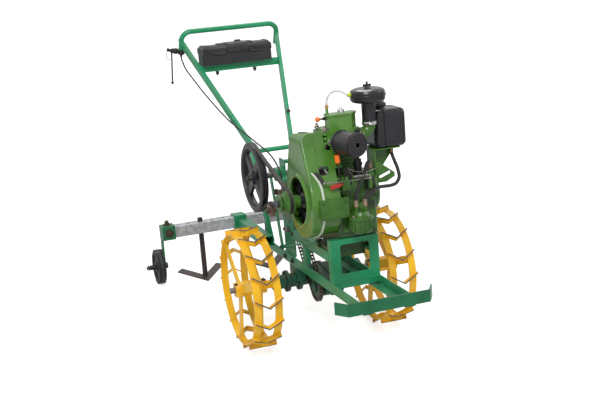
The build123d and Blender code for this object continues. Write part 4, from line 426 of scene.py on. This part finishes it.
# The handle: two flat-sided rails, a tube bow and a cross-member, welded and painted
# in a brighter coat of the same green, with a small bolt on the right rail and two
# long bolts through the cross-member that hold the tool box.
handle_green = worn_look("handle_green", (0.020, 0.320, 0.135), (0.014, 0.26, 0.10), (0.30, 0.34, 0.30),
                         chips=0.15, gloss=0.25, dust=0.06)
wear(handle_green, "handle_side_left", "handle_side_right", "handle_bow", "handle_cross", "handle_tube")
handle_seams = both_sides([
    bead((-197, 868, 828), (-197, 868, 860)), bead((-199, 888, 846), (-199, 868, 860), 5.0),
    bead((-236, 1012, 960), (-242, 1026, 984), 5.0), bead((-256, 1014, 962), (-256, 1030, 984), 5.0),
    bead((-92, 484, 528), (-107, 484, 528), 5.0)])
handle_seams += both_sides([turned([(11, -3), (13.5, -2), (14.5, 0), (11, 1)], (-92, 479, 486), RIGHT, 16)])
build("handle_seams", handle_seams, handle_green)
handle_bolts = bolt((134, 599, 634), (0, -0.65, 0.76), 11)
BOX_BOLT_Y = 880.2
box_bolt = (([(3, 804), (4, 806), (4, 812)], 12), ([(7.6, 811), (8.8, 813), (8.8, 821), (7.6, 823)], 6),
            ([(9.5, 822), (9.5, 824.5), (6.5, 825), (6.5, 856.2)], 16))
for x in (-117, 73):
    handle_bolts += [turned(profile, (x, BOX_BOLT_Y, 0), UP, sides) for profile, sides in box_bolt]
build("handle_bolts", handle_bolts, dark_bolt)

# The gearbox: rough iron castings in a darker green with rings of bolts and brass
# grease nipples, and its toothed wheel, a grey-green plate whose teeth are black with
# chain oil.
gearbox_green = worn_look("gearbox_green", (0.008, 0.090, 0.044), (0.005, 0.050, 0.026), (0.10, 0.11, 0.10),
                          edge_mm=2.4, chips=0.3, gloss=0.38, grain=420.0, depth=0.7, dust=0.2)
tree = gearbox_green.node_tree
spot = level_spot(tree)
LEFT_TEETH_X, RIGHT_TEETH_X = (-56.2, -47.8), (25.8, 34.2)
INPUT_Y, INPUT_Z, TOOTH_ROOT = -128.0, -6.0, 40.5
plate = between(tree, spot["X"], *LEFT_TEETH_X, 0.1)
over(gearbox_green, plate, (0.075, 0.125, 0.100), 0.45)
teeth = ramp(tree, reach_from(tree, spot["Y"], spot["Z"], INPUT_Y, INPUT_Z), TOOTH_ROOT, TOOTH_ROOT + 3)
over(gearbox_green, product(tree, plate, teeth), (0.010, 0.010, 0.010), 0.3)
wear(gearbox_green, "gearbox")
ROUND_SIX = np.arange(6) * np.pi / 3
gearbox_bolts = []
for a in ROUND_SIX + 0.3:
    for x, way in ((-196, -1), (-134, 1), (-146, -1), (-92, -1)):
        gearbox_bolts += bolt((x, 38 * math.cos(a), 38 * math.sin(a)), (way, 0, 0), 9)
gearbox_bolts = both_sides(gearbox_bolts)
for a in np.radians((-70, -35, 0, 35, 70)):
    gearbox_bolts += bolt((4, 56 * math.cos(a), 56 * math.sin(a)), LEFT, 10)
build("gearbox_bolts", gearbox_bolts, dark_bolt)
brass = worn_look("brass", (0.55, 0.36, 0.13), (0.40, 0.24, 0.09), (0.62, 0.48, 0.24), edge_mm=0.6, chips=0.6,
                  gloss=0.3, grain=500.0, depth=0.15, metal=0.8, bare_metal=0.8)
nipple = [(4, -1), (4, 5), (2.2, 6), (2.2, 8), (3, 9.5), (1.6, 12)]
build("grease_nipples", both_sides([turned(nipple, (-112, 0, 30), UP, 10)]), brass)

# The cage wheels: yellow paint on flat steel, welded at each lug and spoke, worn to
# brown steel along the tips of the lugs and rubbed where the rims meet the ground.
wheel_yellow = worn_look("wheel_yellow", (0.95, 0.54, 0.012), (0.88, 0.45, 0.008), (0.16, 0.11, 0.06),
                         edge_mm=1.4, chips=0.30, gloss=0.28, grain=300.0, depth=0.15, dust=0.02, mirror=0.5)
tree = wheel_yellow.node_tree
place = on_object(tree)
spot = shade(tree, "ShaderNodeSeparateXYZ", Vector=place).outputs
from_axle = reach_from(tree, spot["Y"], spot["Z"], AXLE_Y, AXLE_Z)
patch = noise(tree, place, 38.0, 6.0)
rubbed = product(tree, ramp(tree, from_axle, 0.235, 0.258), ramp(tree, patch, 0.50, 0.64))
over(wheel_yellow, rubbed, (0.42, 0.19, 0.012), 0.6)
low_down = product(tree, ramp(tree, spot["Z"], 0.10, 0.0), ramp(tree, patch, 0.40, 0.66))
over(wheel_yellow, product(tree, low_down, 0.6), (0.36, 0.17, 0.02), 0.6)
over(wheel_yellow, ramp(tree, from_axle, 0.2548, 0.2568), (0.12, 0.09, 0.065), 0.5)
wear(wheel_yellow, "cage_wheel_left", "cage_wheel_right")


def spun(shape, degrees):
    """A stack of rings turned about the axle."""
    turn = math.radians(degrees)
    x, y, z = np.moveaxis(shape, -1, 0)
    return np.stack((x, y * math.cos(turn) - z * math.sin(turn), y * math.sin(turn) + z * math.cos(turn)), -1)


LUG_COUNT, LUG_LEAD, LUG_TIP, PLATE_HALF = 16, 38.0, 258.0, 3.0
WHEEL_X, HALF_WIDTH, SEAT_RADIUS = 302.0, 60.5, 238.0
LUG_PITCH = 360 / LUG_COUNT
lug_front = math.degrees(math.asin((LUG_LEAD + PLATE_HALF) / LUG_TIP))
LUG_TURN = -(LUG_PITCH + lug_front - math.degrees(math.asin(PLATE_HALF / LUG_TIP))) / 2
lug_seams = []
for x_out, x_in in ((-361, -333), (-243, -271)):
    for side in (-PLATE_HALF - 1, PLATE_HALF + 1):
        ends = [side - LUG_LEAD * (HALF_WIDTH - abs(abs(x) - WHEEL_X)) / HALF_WIDTH for x in (x_out, x_in)]
        ends = [(x, y, math.sqrt(SEAT_RADIUS ** 2 - y * y)) for x, y in zip((x_out, x_in), ends)]
        lug_seams.append(bead(*ends, 5.5))
wheel_seams = [spun(seam, LUG_TURN + index * LUG_PITCH) for index in range(LUG_COUNT) for seam in lug_seams]
for degrees in (60, 180, 300):
    for x in (-351, -343, -261, -253):
        wheel_seams += [spun(bead((x, -16, z), (x, 16, z), 5.0), degrees) for z in (231.5, 26)]
hub_steel = worn_look("hub_bolt", (0.055, 0.045, 0.045), (0.10, 0.065, 0.045), (0.22, 0.18, 0.15),
                      edge_mm=0.8, chips=0.7, gloss=0.4, grain=600.0, depth=0.3, metal=0.6, bare_metal=0.6)
hub_bolts = []
for z in (25, -25):
    hub_bolts += bolt((-244.5, 0, z), (0, 0, z), 12) + bolt((-366, 0, z), (0, 0, z), 9)
for name, shapes, look, slot in (("wheel_seams", wheel_seams, wheel_yellow, "wheel_yellow"),
                                 ("hub_bolts", hub_bolts, hub_steel, "bare_steel")):
    build(name, both_sides(shapes), look, "wheelset", lifted)

# The toolbar, galvanised with pale crystals, drips and dark stains; the tynes forged
# and browned by the soil; the shafts turned steel with oiled toothed wheels; the idler
# browned steel, with its bolts and the thin spring that pulls its arm.
galvanised = worn_look("galvanised", (0.46, 0.47, 0.49), (0.34, 0.35, 0.38), (0.20, 0.17, 0.14), edge_mm=1.5,
                       chips=0.1, gloss=0.36, grain=120.0, depth=0.05, dust=0.1, metal=0.55, bare_metal=0.55)
tree = galvanised.node_tree
place = on_object(tree)
crystal = shade(tree, "ShaderNodeTexVoronoi", Vector=place, Scale=85.0)
shiny = shade(tree, "ShaderNodeSeparateColor", Color=crystal.outputs["Color"]).outputs[0]
over(galvanised, product(tree, ramp(tree, shiny, 0.2, 0.9), 0.4), (0.70, 0.71, 0.73))
drip = shade(tree, "ShaderNodeMapping", Vector=place, Scale=(70, 8, 8)).outputs[0]
stain = ramp(tree, noise(tree, drip, 1.0, 5.0), 0.58, 0.75)
over(galvanised, product(tree, stain, 0.7), (0.17, 0.155, 0.15), 0.55)
wear(galvanised, "toolbar")
tyne_steel = worn_look("tyne_steel", (0.050, 0.036, 0.033), (0.024, 0.019, 0.020), (0.13, 0.075, 0.045),
                       edge_mm=1.5, chips=0.7, gloss=0.50, grain=240.0, depth=0.6, dust=0.2, metal=0.3,
                       bare_metal=0.3)
wear(tyne_steel, "tynes")
shaft_steel = worn_look("shaft_steel", (0.26, 0.25, 0.24), (0.14, 0.12, 0.11), (0.10, 0.06, 0.04),
                        edge_mm=1.0, chips=0.6, gloss=0.34, grain=300.0, depth=0.15, metal=0.8,
                        bare_metal=0.8)
tree = shaft_steel.node_tree
spot = level_spot(tree)
wheel_side = sums(tree, "MAXIMUM", between(tree, spot["X"], *LEFT_TEETH_X, 0.1),
                  between(tree, spot["X"], *RIGHT_TEETH_X, 0.1))
over(shaft_steel, wheel_side, (0.020, 0.030, 0.024), 0.4)
wear(shaft_steel, "axle", "layshaft", "countershaft")
idler_steel = worn_look("idler_steel", (0.27, 0.21, 0.17), (0.15, 0.085, 0.055), (0.42, 0.40, 0.38),
                        edge_mm=1.4, chips=0.8, gloss=0.36, grain=280.0, depth=0.3, metal=0.6,
                        bare_metal=0.6)
wear(idler_steel, "idler_arm")


def coil(start, end, radius, turns, wire):
    """A spring: the centre runs from start to end while the wire turns round it."""
    start, end = np.array(start, float), np.array(end, float)
    share = np.linspace(0, 1, turns * 12 + 1)
    angle = 2 * np.pi * turns * share
    length = np.linalg.norm(end - start)
    rings = np.stack((radius * np.cos(angle), radius * np.sin(angle), share * length), -1)
    return tube(stood(rings, start, end - start), wire, 6, (end - start) / length)


def curve(points, count=40):
    """A smooth path through points: between each pair a cubic that leaves along the
    line joining its neighbours, the ends' neighbours being themselves."""
    points = np.array(points, float)
    spread = np.concatenate((points[:1], points, points[-1:]))
    share = np.linspace(0, len(points) - 1 - 1e-9, count)
    index = share.astype(int)
    t = (share - index)[:, None]
    a, b, c, d = (spread[index + k] for k in range(4))
    return 0.5 * (2 * b + (c - a) * t + (2 * a - 5 * b + 4 * c - d) * t ** 2
                  + (3 * b - a - 3 * c + d) * t ** 3)


spring_steel = worn_look("spring_steel", (0.30, 0.29, 0.27), (0.18, 0.15, 0.12), (0.40, 0.38, 0.36),
                         edge_mm=0.5, chips=0.5, gloss=0.32, grain=500.0, depth=0.1, metal=0.8,
                         bare_metal=0.8)
idler_spring = [coil((-137, -60, 352), (-108, 8, 258), 7.5, 16, 1.4),
                tube(curve([(-137, -66, 364), (-139, -66, 358), (-137, -60, 351)], 12), 1.4, 6),
                tube(curve([(-108, 8, 259), (-104, 11, 252), (-96, 12, 252)], 12), 1.4, 6)]
build("idler_spring", idler_spring, spring_steel)
build("idler_fittings", bolt((-140.2, 45, 385), LEFT, 15) + bolt((-236, -128, 352), LEFT, 15)
      + bolt((-244, 70, 455), LEFT, 18) + bolt((-121.2, 83, 130), LEFT, 13), dark_bolt)

# The belt drive and the chains: the dark iron pulley and flywheel, the rubber of the
# belt, the cable and the fuel hoses, and oiled roller chain with brighter rollers.
black_iron = worn_look("black_iron", (0.016, 0.016, 0.020), (0.026, 0.023, 0.026), (0.11, 0.085, 0.075),
                       edge_mm=2.0, chips=0.3, gloss=0.36, grain=420.0, depth=0.5, dust=0.06, mirror=0.35)
wear(black_iron, "big_pulley", "flywheel")
belt_rubber = worn_look("belt_rubber", (0.014, 0.013, 0.013), (0.022, 0.020, 0.019), (0.06, 0.055, 0.05),
                        edge_mm=1.5, chips=0.8, gloss=0.55, grain=700.0, depth=0.5, bare_metal=0.0,
                        mirror=0.3)
wear(belt_rubber, "drive_belt", "clutch_cable", "fuel_hoses")
chain_oil = worn_look("chain_oil", (0.030, 0.022, 0.018), (0.055, 0.040, 0.030), (0.22, 0.19, 0.17),
                      edge_mm=0.8, chips=0.7, gloss=0.30, grain=520.0, depth=0.4, metal=0.6, bare_metal=0.6)
tree = chain_oil.node_tree
spot = level_spot(tree)
LEFT_ROLLERS_X, RIGHT_ROLLERS_X = (-57.0, -47.0), (25.0, 35.0)
rollers = sums(tree, "MAXIMUM", between(tree, spot["X"], *LEFT_ROLLERS_X, 0.1),
               between(tree, spot["X"], *RIGHT_ROLLERS_X, 0.1))
over(chain_oil, rollers, (0.17, 0.13, 0.10), 0.3)
wear(chain_oil, "chains")

# The engine's castings and its sheet-metal shroud in a yellower green. Painted shade
# darkens the crankcase towards its bottom and the gap where the shroud's neck leaves its
# drum, and the head takes a lighter green as painted light. The flange's bright edge is
# drawn in the paint. The covers' bolts are painted, the rest zinc.
engine_green = worn_look("engine_green", (0.052, 0.168, 0.014), (0.026, 0.092, 0.008), (0.20, 0.24, 0.14),
                         edge_mm=2.2, chips=0.12, gloss=0.22, grain=330.0, depth=0.55, dust=0.03, mirror=0.5)
wear(engine_green, "fuel_filter", "intake_elbow", "tank_bracket")
case_green = engine_green.copy()
case_green.name = "case_green"
tree = case_green.node_tree
spot = level_spot(tree)
# Painted shade: the crankcase drawn darker towards its bottom, and in a dark patch on its front between the
# hoses.
over(case_green, product(tree, ramp(tree, spot["Z"], 400.0, 290.0), 0.75), (0.012, 0.035, 0.010), 0.35)
front_shade = product(tree, between(tree, spot["X"], 66.0, 96.0, 14.0),
                      between(tree, spot["Z"], 400.0, 500.0, 30.0))
front_shade = product(tree, front_shade, ramp(tree, spot["Y"], -440.0, -448.0))
over(case_green, product(tree, front_shade, 0.85), (0.010, 0.016, 0.010), 0.3)
wear(case_green, "crankcase")
# Painted light: the head takes a lighter copy of the engine's green, as if lit from above; the flanges wear
# it too.
lit_head_green = worn_look("lit_head_green", (0.095, 0.255, 0.034), (0.060, 0.180, 0.020), (0.42, 0.52, 0.34),
                       edge_mm=2.4, chips=0.4, gloss=0.17, grain=330.0, depth=0.35, dust=0.02, mirror=0.6)
wear(lit_head_green, "cylinder_head")
shroud_green = worn_look("shroud_green", (0.070, 0.200, 0.020), (0.048, 0.150, 0.014), (0.42, 0.50, 0.34),
                         edge_mm=1.4, chips=0.25, gloss=0.17, grain=190.0, depth=0.06, dust=0.02, mirror=0.55)
tree = shroud_green.node_tree
spot = level_spot(tree)
CRANK_Y, CRANK_Z, DRUM_RADIUS = -356.0, 430.0, 146.0
GAP_X, FLANGE_X, BEND_FROM_Z, BEND = (-125.5, -107.0), (-135.0, -127.0), 490.0, 0.006
from_crank = reach_from(tree, spot["Y"], spot["Z"], CRANK_Y, CRANK_Z)
rise = sums(tree, "MAXIMUM", sums(tree, "SUBTRACT", spot["Z"], BEND_FROM_Z), 0.0)
bent_x = sums(tree, "ADD", spot["X"], product(tree, product(tree, rise, rise), BEND))
outside = product(tree, ramp(tree, from_crank, DRUM_RADIUS, DRUM_RADIUS + 2),
                  ramp(tree, spot["Z"], 562.0, 552.0))
# Painted shade: a near-black band on the neck where it leaves the drum, standing for the shaded gap between
# them.
gap_shade = product(tree, between(tree, bent_x, *GAP_X, 2.0), ramp(tree, spot["Z"], 444.0, 456.0))
gap_shade = product(tree, gap_shade, ramp(tree, spot["Y"], -430.0, -440.0))
over(shroud_green, product(tree, outside, gap_shade), (0.006, 0.008, 0.006), 0.5)
flange_edge = product(tree, between(tree, bent_x, *FLANGE_X, 0.6), outside)
over(shroud_green, product(tree, flange_edge, 0.85), (0.62, 0.66, 0.56), 0.3)
wear(shroud_green, "fan_shroud")
fin_green = worn_look("fin_green", (0.05, 0.17, 0.014), (0.02, 0.075, 0.008), (0.12, 0.13, 0.10), edge_mm=1.0,
                      chips=0.4, gloss=0.45, grain=500.0, depth=0.5, dust=0.2)
wear(fin_green, "cylinder")
pulley_green = worn_look("pulley_green", (0.055, 0.180, 0.018), (0.025, 0.085, 0.010), (0.14, 0.13, 0.11),
                         edge_mm=1.5, chips=0.8, gloss=0.35, grain=380.0, depth=0.4, dust=0.1)
wear(pulley_green, "engine_pulley")
zinc_bolt = worn_look("zinc_bolt", (0.34, 0.33, 0.29), (0.20, 0.17, 0.13), (0.50, 0.48, 0.45), edge_mm=0.6,
                      chips=0.5, gloss=0.30, grain=600.0, depth=0.2, metal=0.75, bare_metal=0.75)
painted_bolts = []
for x, z in ((-30, 420), (90, 420), (-30, 310), (92, 310), (44, 422)):
    painted_bolts += bolt((x, -462, z), FRONT, 10)
for x, z in ((-138, 387), (-138, 444), (-46, 387), (-46, 444)):
    painted_bolts += bolt((x, -515.3, z), FRONT, 8)
for a in ROUND_SIX:
    painted_bolts += bolt((117.5, CRANK_Y + 88 * math.cos(a), CRANK_Z + 88 * math.sin(a)), RIGHT, 9)
build("painted_bolts", painted_bolts, engine_green)
engine_bolts = both_sides(bolt((-84, -414, 238.8), UP, 17) + bolt((-84, -300, 238.8), UP, 17))
for x, y in ((-66, -402), (-66, -312), (58, -312), (-4, -306)):
    engine_bolts += bolt((x, y, 700), UP, 15)
    engine_bolts.append(turned([(5, 708), (5, 718), (3.5, 720)], (x, y, 0), UP, 12))
for a in (0.6, 2.0, 3.6, 5.2):
    engine_bolts += bolt((14 + 42 * math.cos(a), -512 + 42 * math.sin(a), 376.4), UP, 8)
for x in (-58, -14):
    engine_bolts += bolt((x, -425.6, 658), FRONT, 10)
for y in (-426, -382):
    engine_bolts += bolt((79.6, y, 672), RIGHT, 10)
build("engine_bolts", engine_bolts, zinc_bolt)
chrome = worn_look("chrome", (0.62, 0.62, 0.60), (0.50, 0.49, 0.46), (0.80, 0.80, 0.80), edge_mm=0.8,
                   chips=0.3, gloss=0.16, grain=300.0, depth=0.05, dust=0.03, metal=0.9, bare_metal=0.9)
rocker_nut = [(13.5, 759.8), (13.5, 771), (11.5, 773), (6, 773.4), (5, 775), (5, 780), (3, 782)]
build("rocker_nut", [turned(rocker_nut, (8, -390, 0), UP)], chrome)


def slab(width, height, corner, thick, foot, axis, edge=1.0):
    """A plate with round corners: quarter circles of the corner's radius set in from
    the half sizes, drawn in a little at both faces."""
    quarter = np.repeat(np.arange(4), 5) * np.pi / 2
    angle = quarter + np.tile(np.arange(5), 4) * np.pi / 8
    way = np.sign(np.stack((np.cos(quarter + np.pi / 4), np.sin(quarter + np.pi / 4)), -1))
    around = np.stack((np.cos(angle), np.sin(angle)), -1)
    rings = []
    for inset, rise in ((edge, 0), (0, edge), (0, thick - edge), (edge, thick)):
        half = np.array((width / 2 - corner, height / 2 - corner))
        flat = way * half + around * (corner - inset)
        rings.append(np.column_stack((flat, np.full(len(flat), float(rise)))))
    return stood(np.array(rings), foot, axis)


flanges = [slab(66, 34, 14, 8, (-36, -417.8, 658), FRONT), slab(62, 34, 14, 8, (71.8, -404, 672), RIGHT),
           turned([(22, -0.3), (22, 5), (14, 6), (14, 16), (12, 18)], (136, CRANK_Y, CRANK_Z), RIGHT),
           slab(46, 26, 6, 5, (28, -461.8, 400), FRONT)]
build("engine_flanges", flanges, lit_head_green)

# The injection gear on top of the crankcase's front: a dark pump barrel with its
# steel pipe up to the injector on the head, and the governor's rods and spring.
pump_black = worn_look("pump_black", (0.028, 0.034, 0.028), (0.014, 0.016, 0.014), (0.20, 0.20, 0.17),
                       edge_mm=1.0, chips=0.6, gloss=0.30, grain=420.0, depth=0.4, metal=0.4, bare_metal=0.4)
PUMP_FOOT = (44, -440, 0)
barrel = [(21, 519.5), (21, 524), (16, 525), (16, 556), (19, 557), (19, 566), (15, 568), (15, 580),
          (12, 582)]
injector = [(12, 0), (12, 8), (9, 9), (9, 22), (6, 23), (6, 34), (4, 35)]
pump_parts = [turned(barrel, PUMP_FOOT, UP, 28), turned([(8, 582), (8, 590), (6, 591)], PUMP_FOOT, UP, 6),
              turned(injector, (58, -418, 682), (0.1, -1, 0.25)),
              slab(30, 70, 4, 5, (-8, -455.8, 520), FRONT),
              turned([(15, 519.5), (15, 530), (11, 532), (11, 546), (7, 548)], (4, -446, 0), UP, 20),
              turned([(9, 0), (9, 16), (6, 18), (6, 30)], (26, -456, 506), (0, -1, 0.1), 16)]
build("injection_pump", pump_parts, pump_black)
pipe_way = curve([(44, -440, 588), (44, -440, 604), (40, -446, 630), (40, -462, 656), (48, -470, 680),
                  (56, -464, 692), (61, -450, 691)])
rod_low = curve([(-124, -500, 517), (-60, -512, 516), (10, -508, 514), (70, -498, 512)], 24)
rod_high = curve([(-8, -462, 552), (20, -476, 540), (56, -490, 536), (96, -478, 540), (118, -452, 536)], 30)
steel_lines = [tube(pipe_way, 2.8), tube(rod_low, 2.2, 8), tube(rod_high, 1.8, 8),
               coil((-4, -509, 527), (62, -500, 524), 5.5, 14, 1.2),
               tube(curve([(-8, -462, 552), (-10, -480, 546), (-6, -509, 531), (-4, -509, 527)], 14), 1.2, 6),
               tube(curve([(62, -500, 524), (72, -498, 520), (70, -498, 512)], 10), 1.2, 6)]
for x, y in ((-122, -500), (-106, -503), (68, -498)):
    steel_lines.append(turned([(5.5, -4), (5.5, 4)], (x, y, 517 if x < 0 else 512), (1, -0.1, 0), 6))
build("governor_rods", steel_lines, spring_steel)
levers = [slab(12, 62, 5.5, 4, (70, -494, 500), (0.1, -1, 0)),
          slab(11, 50, 5, 4, (-34, -512, 508), (0, -1, 0.05)),
          tube(curve([(118, -452, 536), (126, -446, 520), (125, -440, 500)], 12), 2.6, 8)]
build("governor_levers", levers, engine_green)

# The air cleaner, tank and muffler: black sheet metal with a deep gloss; the muffler
# dulled by heat, its cap pressed in rings; a bright clamp round the intake stem.
tin_black = worn_look("tin_black", (0.009, 0.009, 0.012), (0.014, 0.014, 0.018), (0.09, 0.08, 0.075),
                      edge_mm=1.8, chips=0.12, gloss=0.17, grain=160.0, depth=0.06, dust=0.05, mirror=0.45)
wear(tin_black, "fuel_tank", "air_cleaner", "clutch_lever")
scorched = worn_look("scorched", (0.014, 0.012, 0.017), (0.028, 0.022, 0.027), (0.14, 0.09, 0.06),
                     edge_mm=1.6, chips=0.4, gloss=0.30, grain=260.0, depth=0.25, dust=0.06)
wear(scorched, "muffler")
YAW = math.radians(14.0)
to_front = (math.sin(YAW), -math.cos(YAW), 0)
FACE_Y, FACE_Z, DIMPLE_REACH = -562, 658, 25.5
pressed = []
for radius in (20, 31, 41):
    ridge = [(radius - 2.5, -0.2), (radius + 2.5, -0.2), (radius + 1.6, 1.6), (radius - 1.6, 1.6),
             (radius - 2.5, -0.2)]
    pressed.append(turned(ridge, (0, FACE_Y, FACE_Z), to_front, 48))
for a in np.arange(8) * np.pi / 4:
    aside = DIMPLE_REACH * math.cos(a)
    dimple_foot = (aside * math.cos(YAW), FACE_Y + aside * math.sin(YAW), FACE_Z + DIMPLE_REACH * math.sin(a))
    pressed.append(turned([(3.2, -0.2), (3.2, 1.2), (2, 1.8)], dimple_foot, to_front, 10))
pressed_black = worn_look("pressed_black", (0.012, 0.012, 0.016), (0.020, 0.018, 0.022), (0.12, 0.12, 0.13),
                          edge_mm=1.2, chips=1.0, gloss=0.22, grain=300.0, depth=0.1, dust=0.04)
build("muffler_cap", pressed, pressed_black)
CAP_SIDES, CAP_FLUTES = 60, 15
cap_angle = np.arange(CAP_SIDES) * 2 * np.pi / CAP_SIDES
fluted = 27.2 + 1.1 * np.cos(CAP_FLUTES * cap_angle)
cap_rings = []
for share, z in ((0.97, 752.5), (1, 754), (1, 764), (0.95, 767)):
    cap_rings.append(np.column_stack((share * fluted * np.cos(cap_angle), share * fluted * np.sin(cap_angle),
                                      np.full(CAP_SIDES, z))))
build("tank_cap_grip", [stood(np.array(cap_rings), (202, -315, 0), UP)], tin_black)
clamp_ring = [(27.2, 702), (29.2, 702), (29.6, 704), (29.6, 713), (29.2, 715), (27.2, 715), (27.2, 702)]
stem_clamp = [turned(clamp_ring, (118, -404, 0), UP, 40), slab(12, 10, 2, 16, (110, -434, 708), RIGHT)]
stem_clamp += bolt((126, -434, 708), RIGHT, 8) + bolt((110, -434, 708), LEFT, 8)
build("stem_clamp", stem_clamp, chrome)

# The fuel line's unions and the breather's ends: plated ferrules browned by heat, a
# brass banjo under the tank, and a yellow-green elbow on the cloudy breather hose.
ferrules = [turned([(7.4, z), (8.8, z + 1), (8.8, z + 11), (8.0, z + 12), (8.0, z + 14), (8.8, z + 15),
                    (8.8, z + 26), (7.4, z + 27)], (x, y, 0), UP, 20)
            for x, y, z in ((-3, -512, 409), (34, -512, 409), (84, -464, 542), (236, -334, 564))]
ferrule_look = worn_look("ferrule_look", (0.42, 0.30, 0.22), (0.26, 0.15, 0.09), (0.62, 0.58, 0.52),
                         edge_mm=0.8, chips=0.8, gloss=0.26, grain=420.0, depth=0.2, metal=0.7,
                         bare_metal=0.7)
build("ferrules", ferrules, ferrule_look)
banjo = [turned([(11, 583), (11, 590), (9, 591.8)], (236, -334, 0), UP, 6),
         turned([(7.5, 780), (7.5, 792), (6, 794)], (-42, -372, 0), UP, 16)]
build("unions", banjo, brass)
clear_fitting = worn_look("clear_fitting", (0.60, 0.68, 0.05), (0.48, 0.56, 0.04), (0.75, 0.80, 0.30),
                          edge_mm=0.8, chips=0.2, gloss=0.3, grain=400.0, depth=0.1, dust=0.03,
                          bare_metal=0.0)
build("breather_elbow", [turned([(6.5, 0), (7.6, 1), (7.6, 12), (6.2, 13)], (33, -404, 826), RIGHT, 16),
                         slab(13, 15, 3, 10, (39, -404, 826), RIGHT)], clear_fitting)
clear_hose = bpy.data.materials.new("clear_hose")
clear_hose.use_nodes = True
tree = clear_hose.node_tree
shader = tree.nodes["Principled BSDF"]
shader.inputs["Transmission Weight"].default_value = 0.3
shader.inputs["IOR"].default_value = 1.4
cloud = noise(tree, on_object(tree), 60.0, 2.0)
tree.links.new(blend_colours(tree, cloud, (0.60, 0.64, 0.62), (0.76, 0.79, 0.79)),
               shader.inputs["Base Color"])
tree.links.new(ramp(tree, cloud, -0.6, 2.6), shader.inputs["Roughness"])
wear(clear_hose, "breather_hose")

# The small controls: a red stop lever, an orange throttle knob and an orange ball on
# the decompressor, each on its black stem.
control_look = worn_look("control_look", (0.02, 0.02, 0.022), (0.03, 0.03, 0.03), (0.08, 0.07, 0.06),
                         edge_mm=1.0, chips=0.2, gloss=0.3, grain=300.0, depth=0.1, dust=0.03)
tree = control_look.node_tree
place = on_object(tree)
for centre, reach, colour in (((-80, -508, 500), 0.030, (0.40, 0.030, 0.025)),
                              ((-51, -470, 598), 0.021, (0.86, 0.16, 0.015)),
                              ((-86, -374, 742), 0.014, (0.80, 0.17, 0.02))):
    gap = shade(tree, "ShaderNodeVectorMath", {"operation": "DISTANCE"}, i0=place, i1=level @ Vector(centre))
    over(control_look, sums(tree, "LESS_THAN", gap.outputs["Value"], reach), colour, 0.32)
wear(control_look, "control_levers")

# The tool box, black plastic moulded with a fine grain, its lid with a raised saddle
# over its middle, a plate at its right and ribs at its ends. The depth wheels are a
# blacker rubber with tread blocks round their rims.
moulded = worn_look("moulded", (0.018, 0.017, 0.020), (0.026, 0.024, 0.028), (0.07, 0.065, 0.065),
                    edge_mm=2.0, chips=0.1, gloss=0.34, grain=900.0, depth=0.5, dust=0.10, bare_metal=0.0)
wear(moulded, "tool_box_base", "tool_box_lid")
tyre_black = worn_look("tyre_black", (0.007, 0.007, 0.008), (0.011, 0.010, 0.011), (0.05, 0.045, 0.04),
                       edge_mm=2.0, chips=0.3, gloss=0.42, grain=700.0, depth=0.5, dust=0.05,
                       bare_metal=0.0, mirror=0.3)
wear(tyre_black, "depth_wheel_left", "depth_wheel_right")


def band(path, width, thick, middle_x):
    """A strip across X laid along a path of (y, z): its section, a rectangle with cut
    corners, stands square to the path at each point."""
    path = np.array(path, float)
    along = np.gradient(path, axis=0)
    along /= np.linalg.norm(along, axis=1, keepdims=True)
    outward = np.stack((along[:, 1], -along[:, 0]), -1)
    cut = min(1.5, thick / 3)
    section = np.array([(width / 2, cut), (width / 2, thick - cut), (width / 2 - cut, thick),
                        (cut - width / 2, thick), (-width / 2, thick - cut), (-width / 2, cut),
                        (cut - width / 2, 0), (width / 2 - cut, 0)])
    across = np.broadcast_to(middle_x + section[:, 0], (len(path), len(section)))
    rise = path[:, None] - section[:, 1, None] * outward[:, None]
    return np.stack((across, rise[..., 0], rise[..., 1]), -1)


saddle_path = [(825.4, 916), (825.4, 930), (825.6, 938.5), (829.5, 943.5), (837.0, 951.0), (842, 951.4),
               (880, 951.6), (916, 951.4), (922, 948.5), (930.2, 941.0), (930.8, 930), (930.8, 918)]
lid_ribs = [band(saddle_path, 104, 6.5, -20), band(saddle_path, 6, 2.5, -181), band(saddle_path, 4, 2, -166),
            band(saddle_path, 6, 2.5, 137), slab(80, 18, 3, 4, (104, 826.4, 929), FRONT),
            slab(12, 30, 3, 9, (2, 900, 956.6), UP)]
build("lid_saddle", lid_ribs, moulded, "tool_box_lid")
BLOCK_COUNT, BLOCK_FOOT = 20, 73.5
pin_place = np.array((-544.5, PIN_Y, PIN_Z))
treads = []
for index in range(BLOCK_COUNT):
    a = index * 2 * np.pi / BLOCK_COUNT
    radial = np.array((0, math.cos(a), math.sin(a)))
    treads.append(slab(13, 37, 2, 8.0, pin_place + BLOCK_FOOT * radial, radial, 0.8))
for name, shapes in (("depth_tread_left", treads), ("depth_tread_right", mirrored(treads))):
    build(name, shapes, moulded, name.replace("tread", "wheel"))

# The clutch lever's fittings: a clamp boss with its bolts, the cable's adjuster, and
# a hook of thin wire beside the knob.
adjuster = [(5, -16), (6.5, -15), (6.5, -3), (4.5, -1), (4.5, 3)]
fittings = [turned([(14, -8), (15, -6), (15, 6), (14, 8)], (-270, 1064, 926), (-0.76, 0.65, 0.08), 24),
            turned(adjuster, (-246, 1048.4, 912), (0, -0.387, 0.922), 12)]
fittings += bolt((-284, 1072, 928), FRONT, 13) + bolt((-246, 1030, 925), FRONT, 10)
build("lever_fittings", fittings, tin_black)
hook = curve([(-304, 1078, 930), (-313, 1078, 914), (-312, 1080, 894), (-302, 1082, 884),
              (-295, 1082, 890)], 24)
build("lever_hook", [tube(hook, 1.5, 8)], spring_steel)
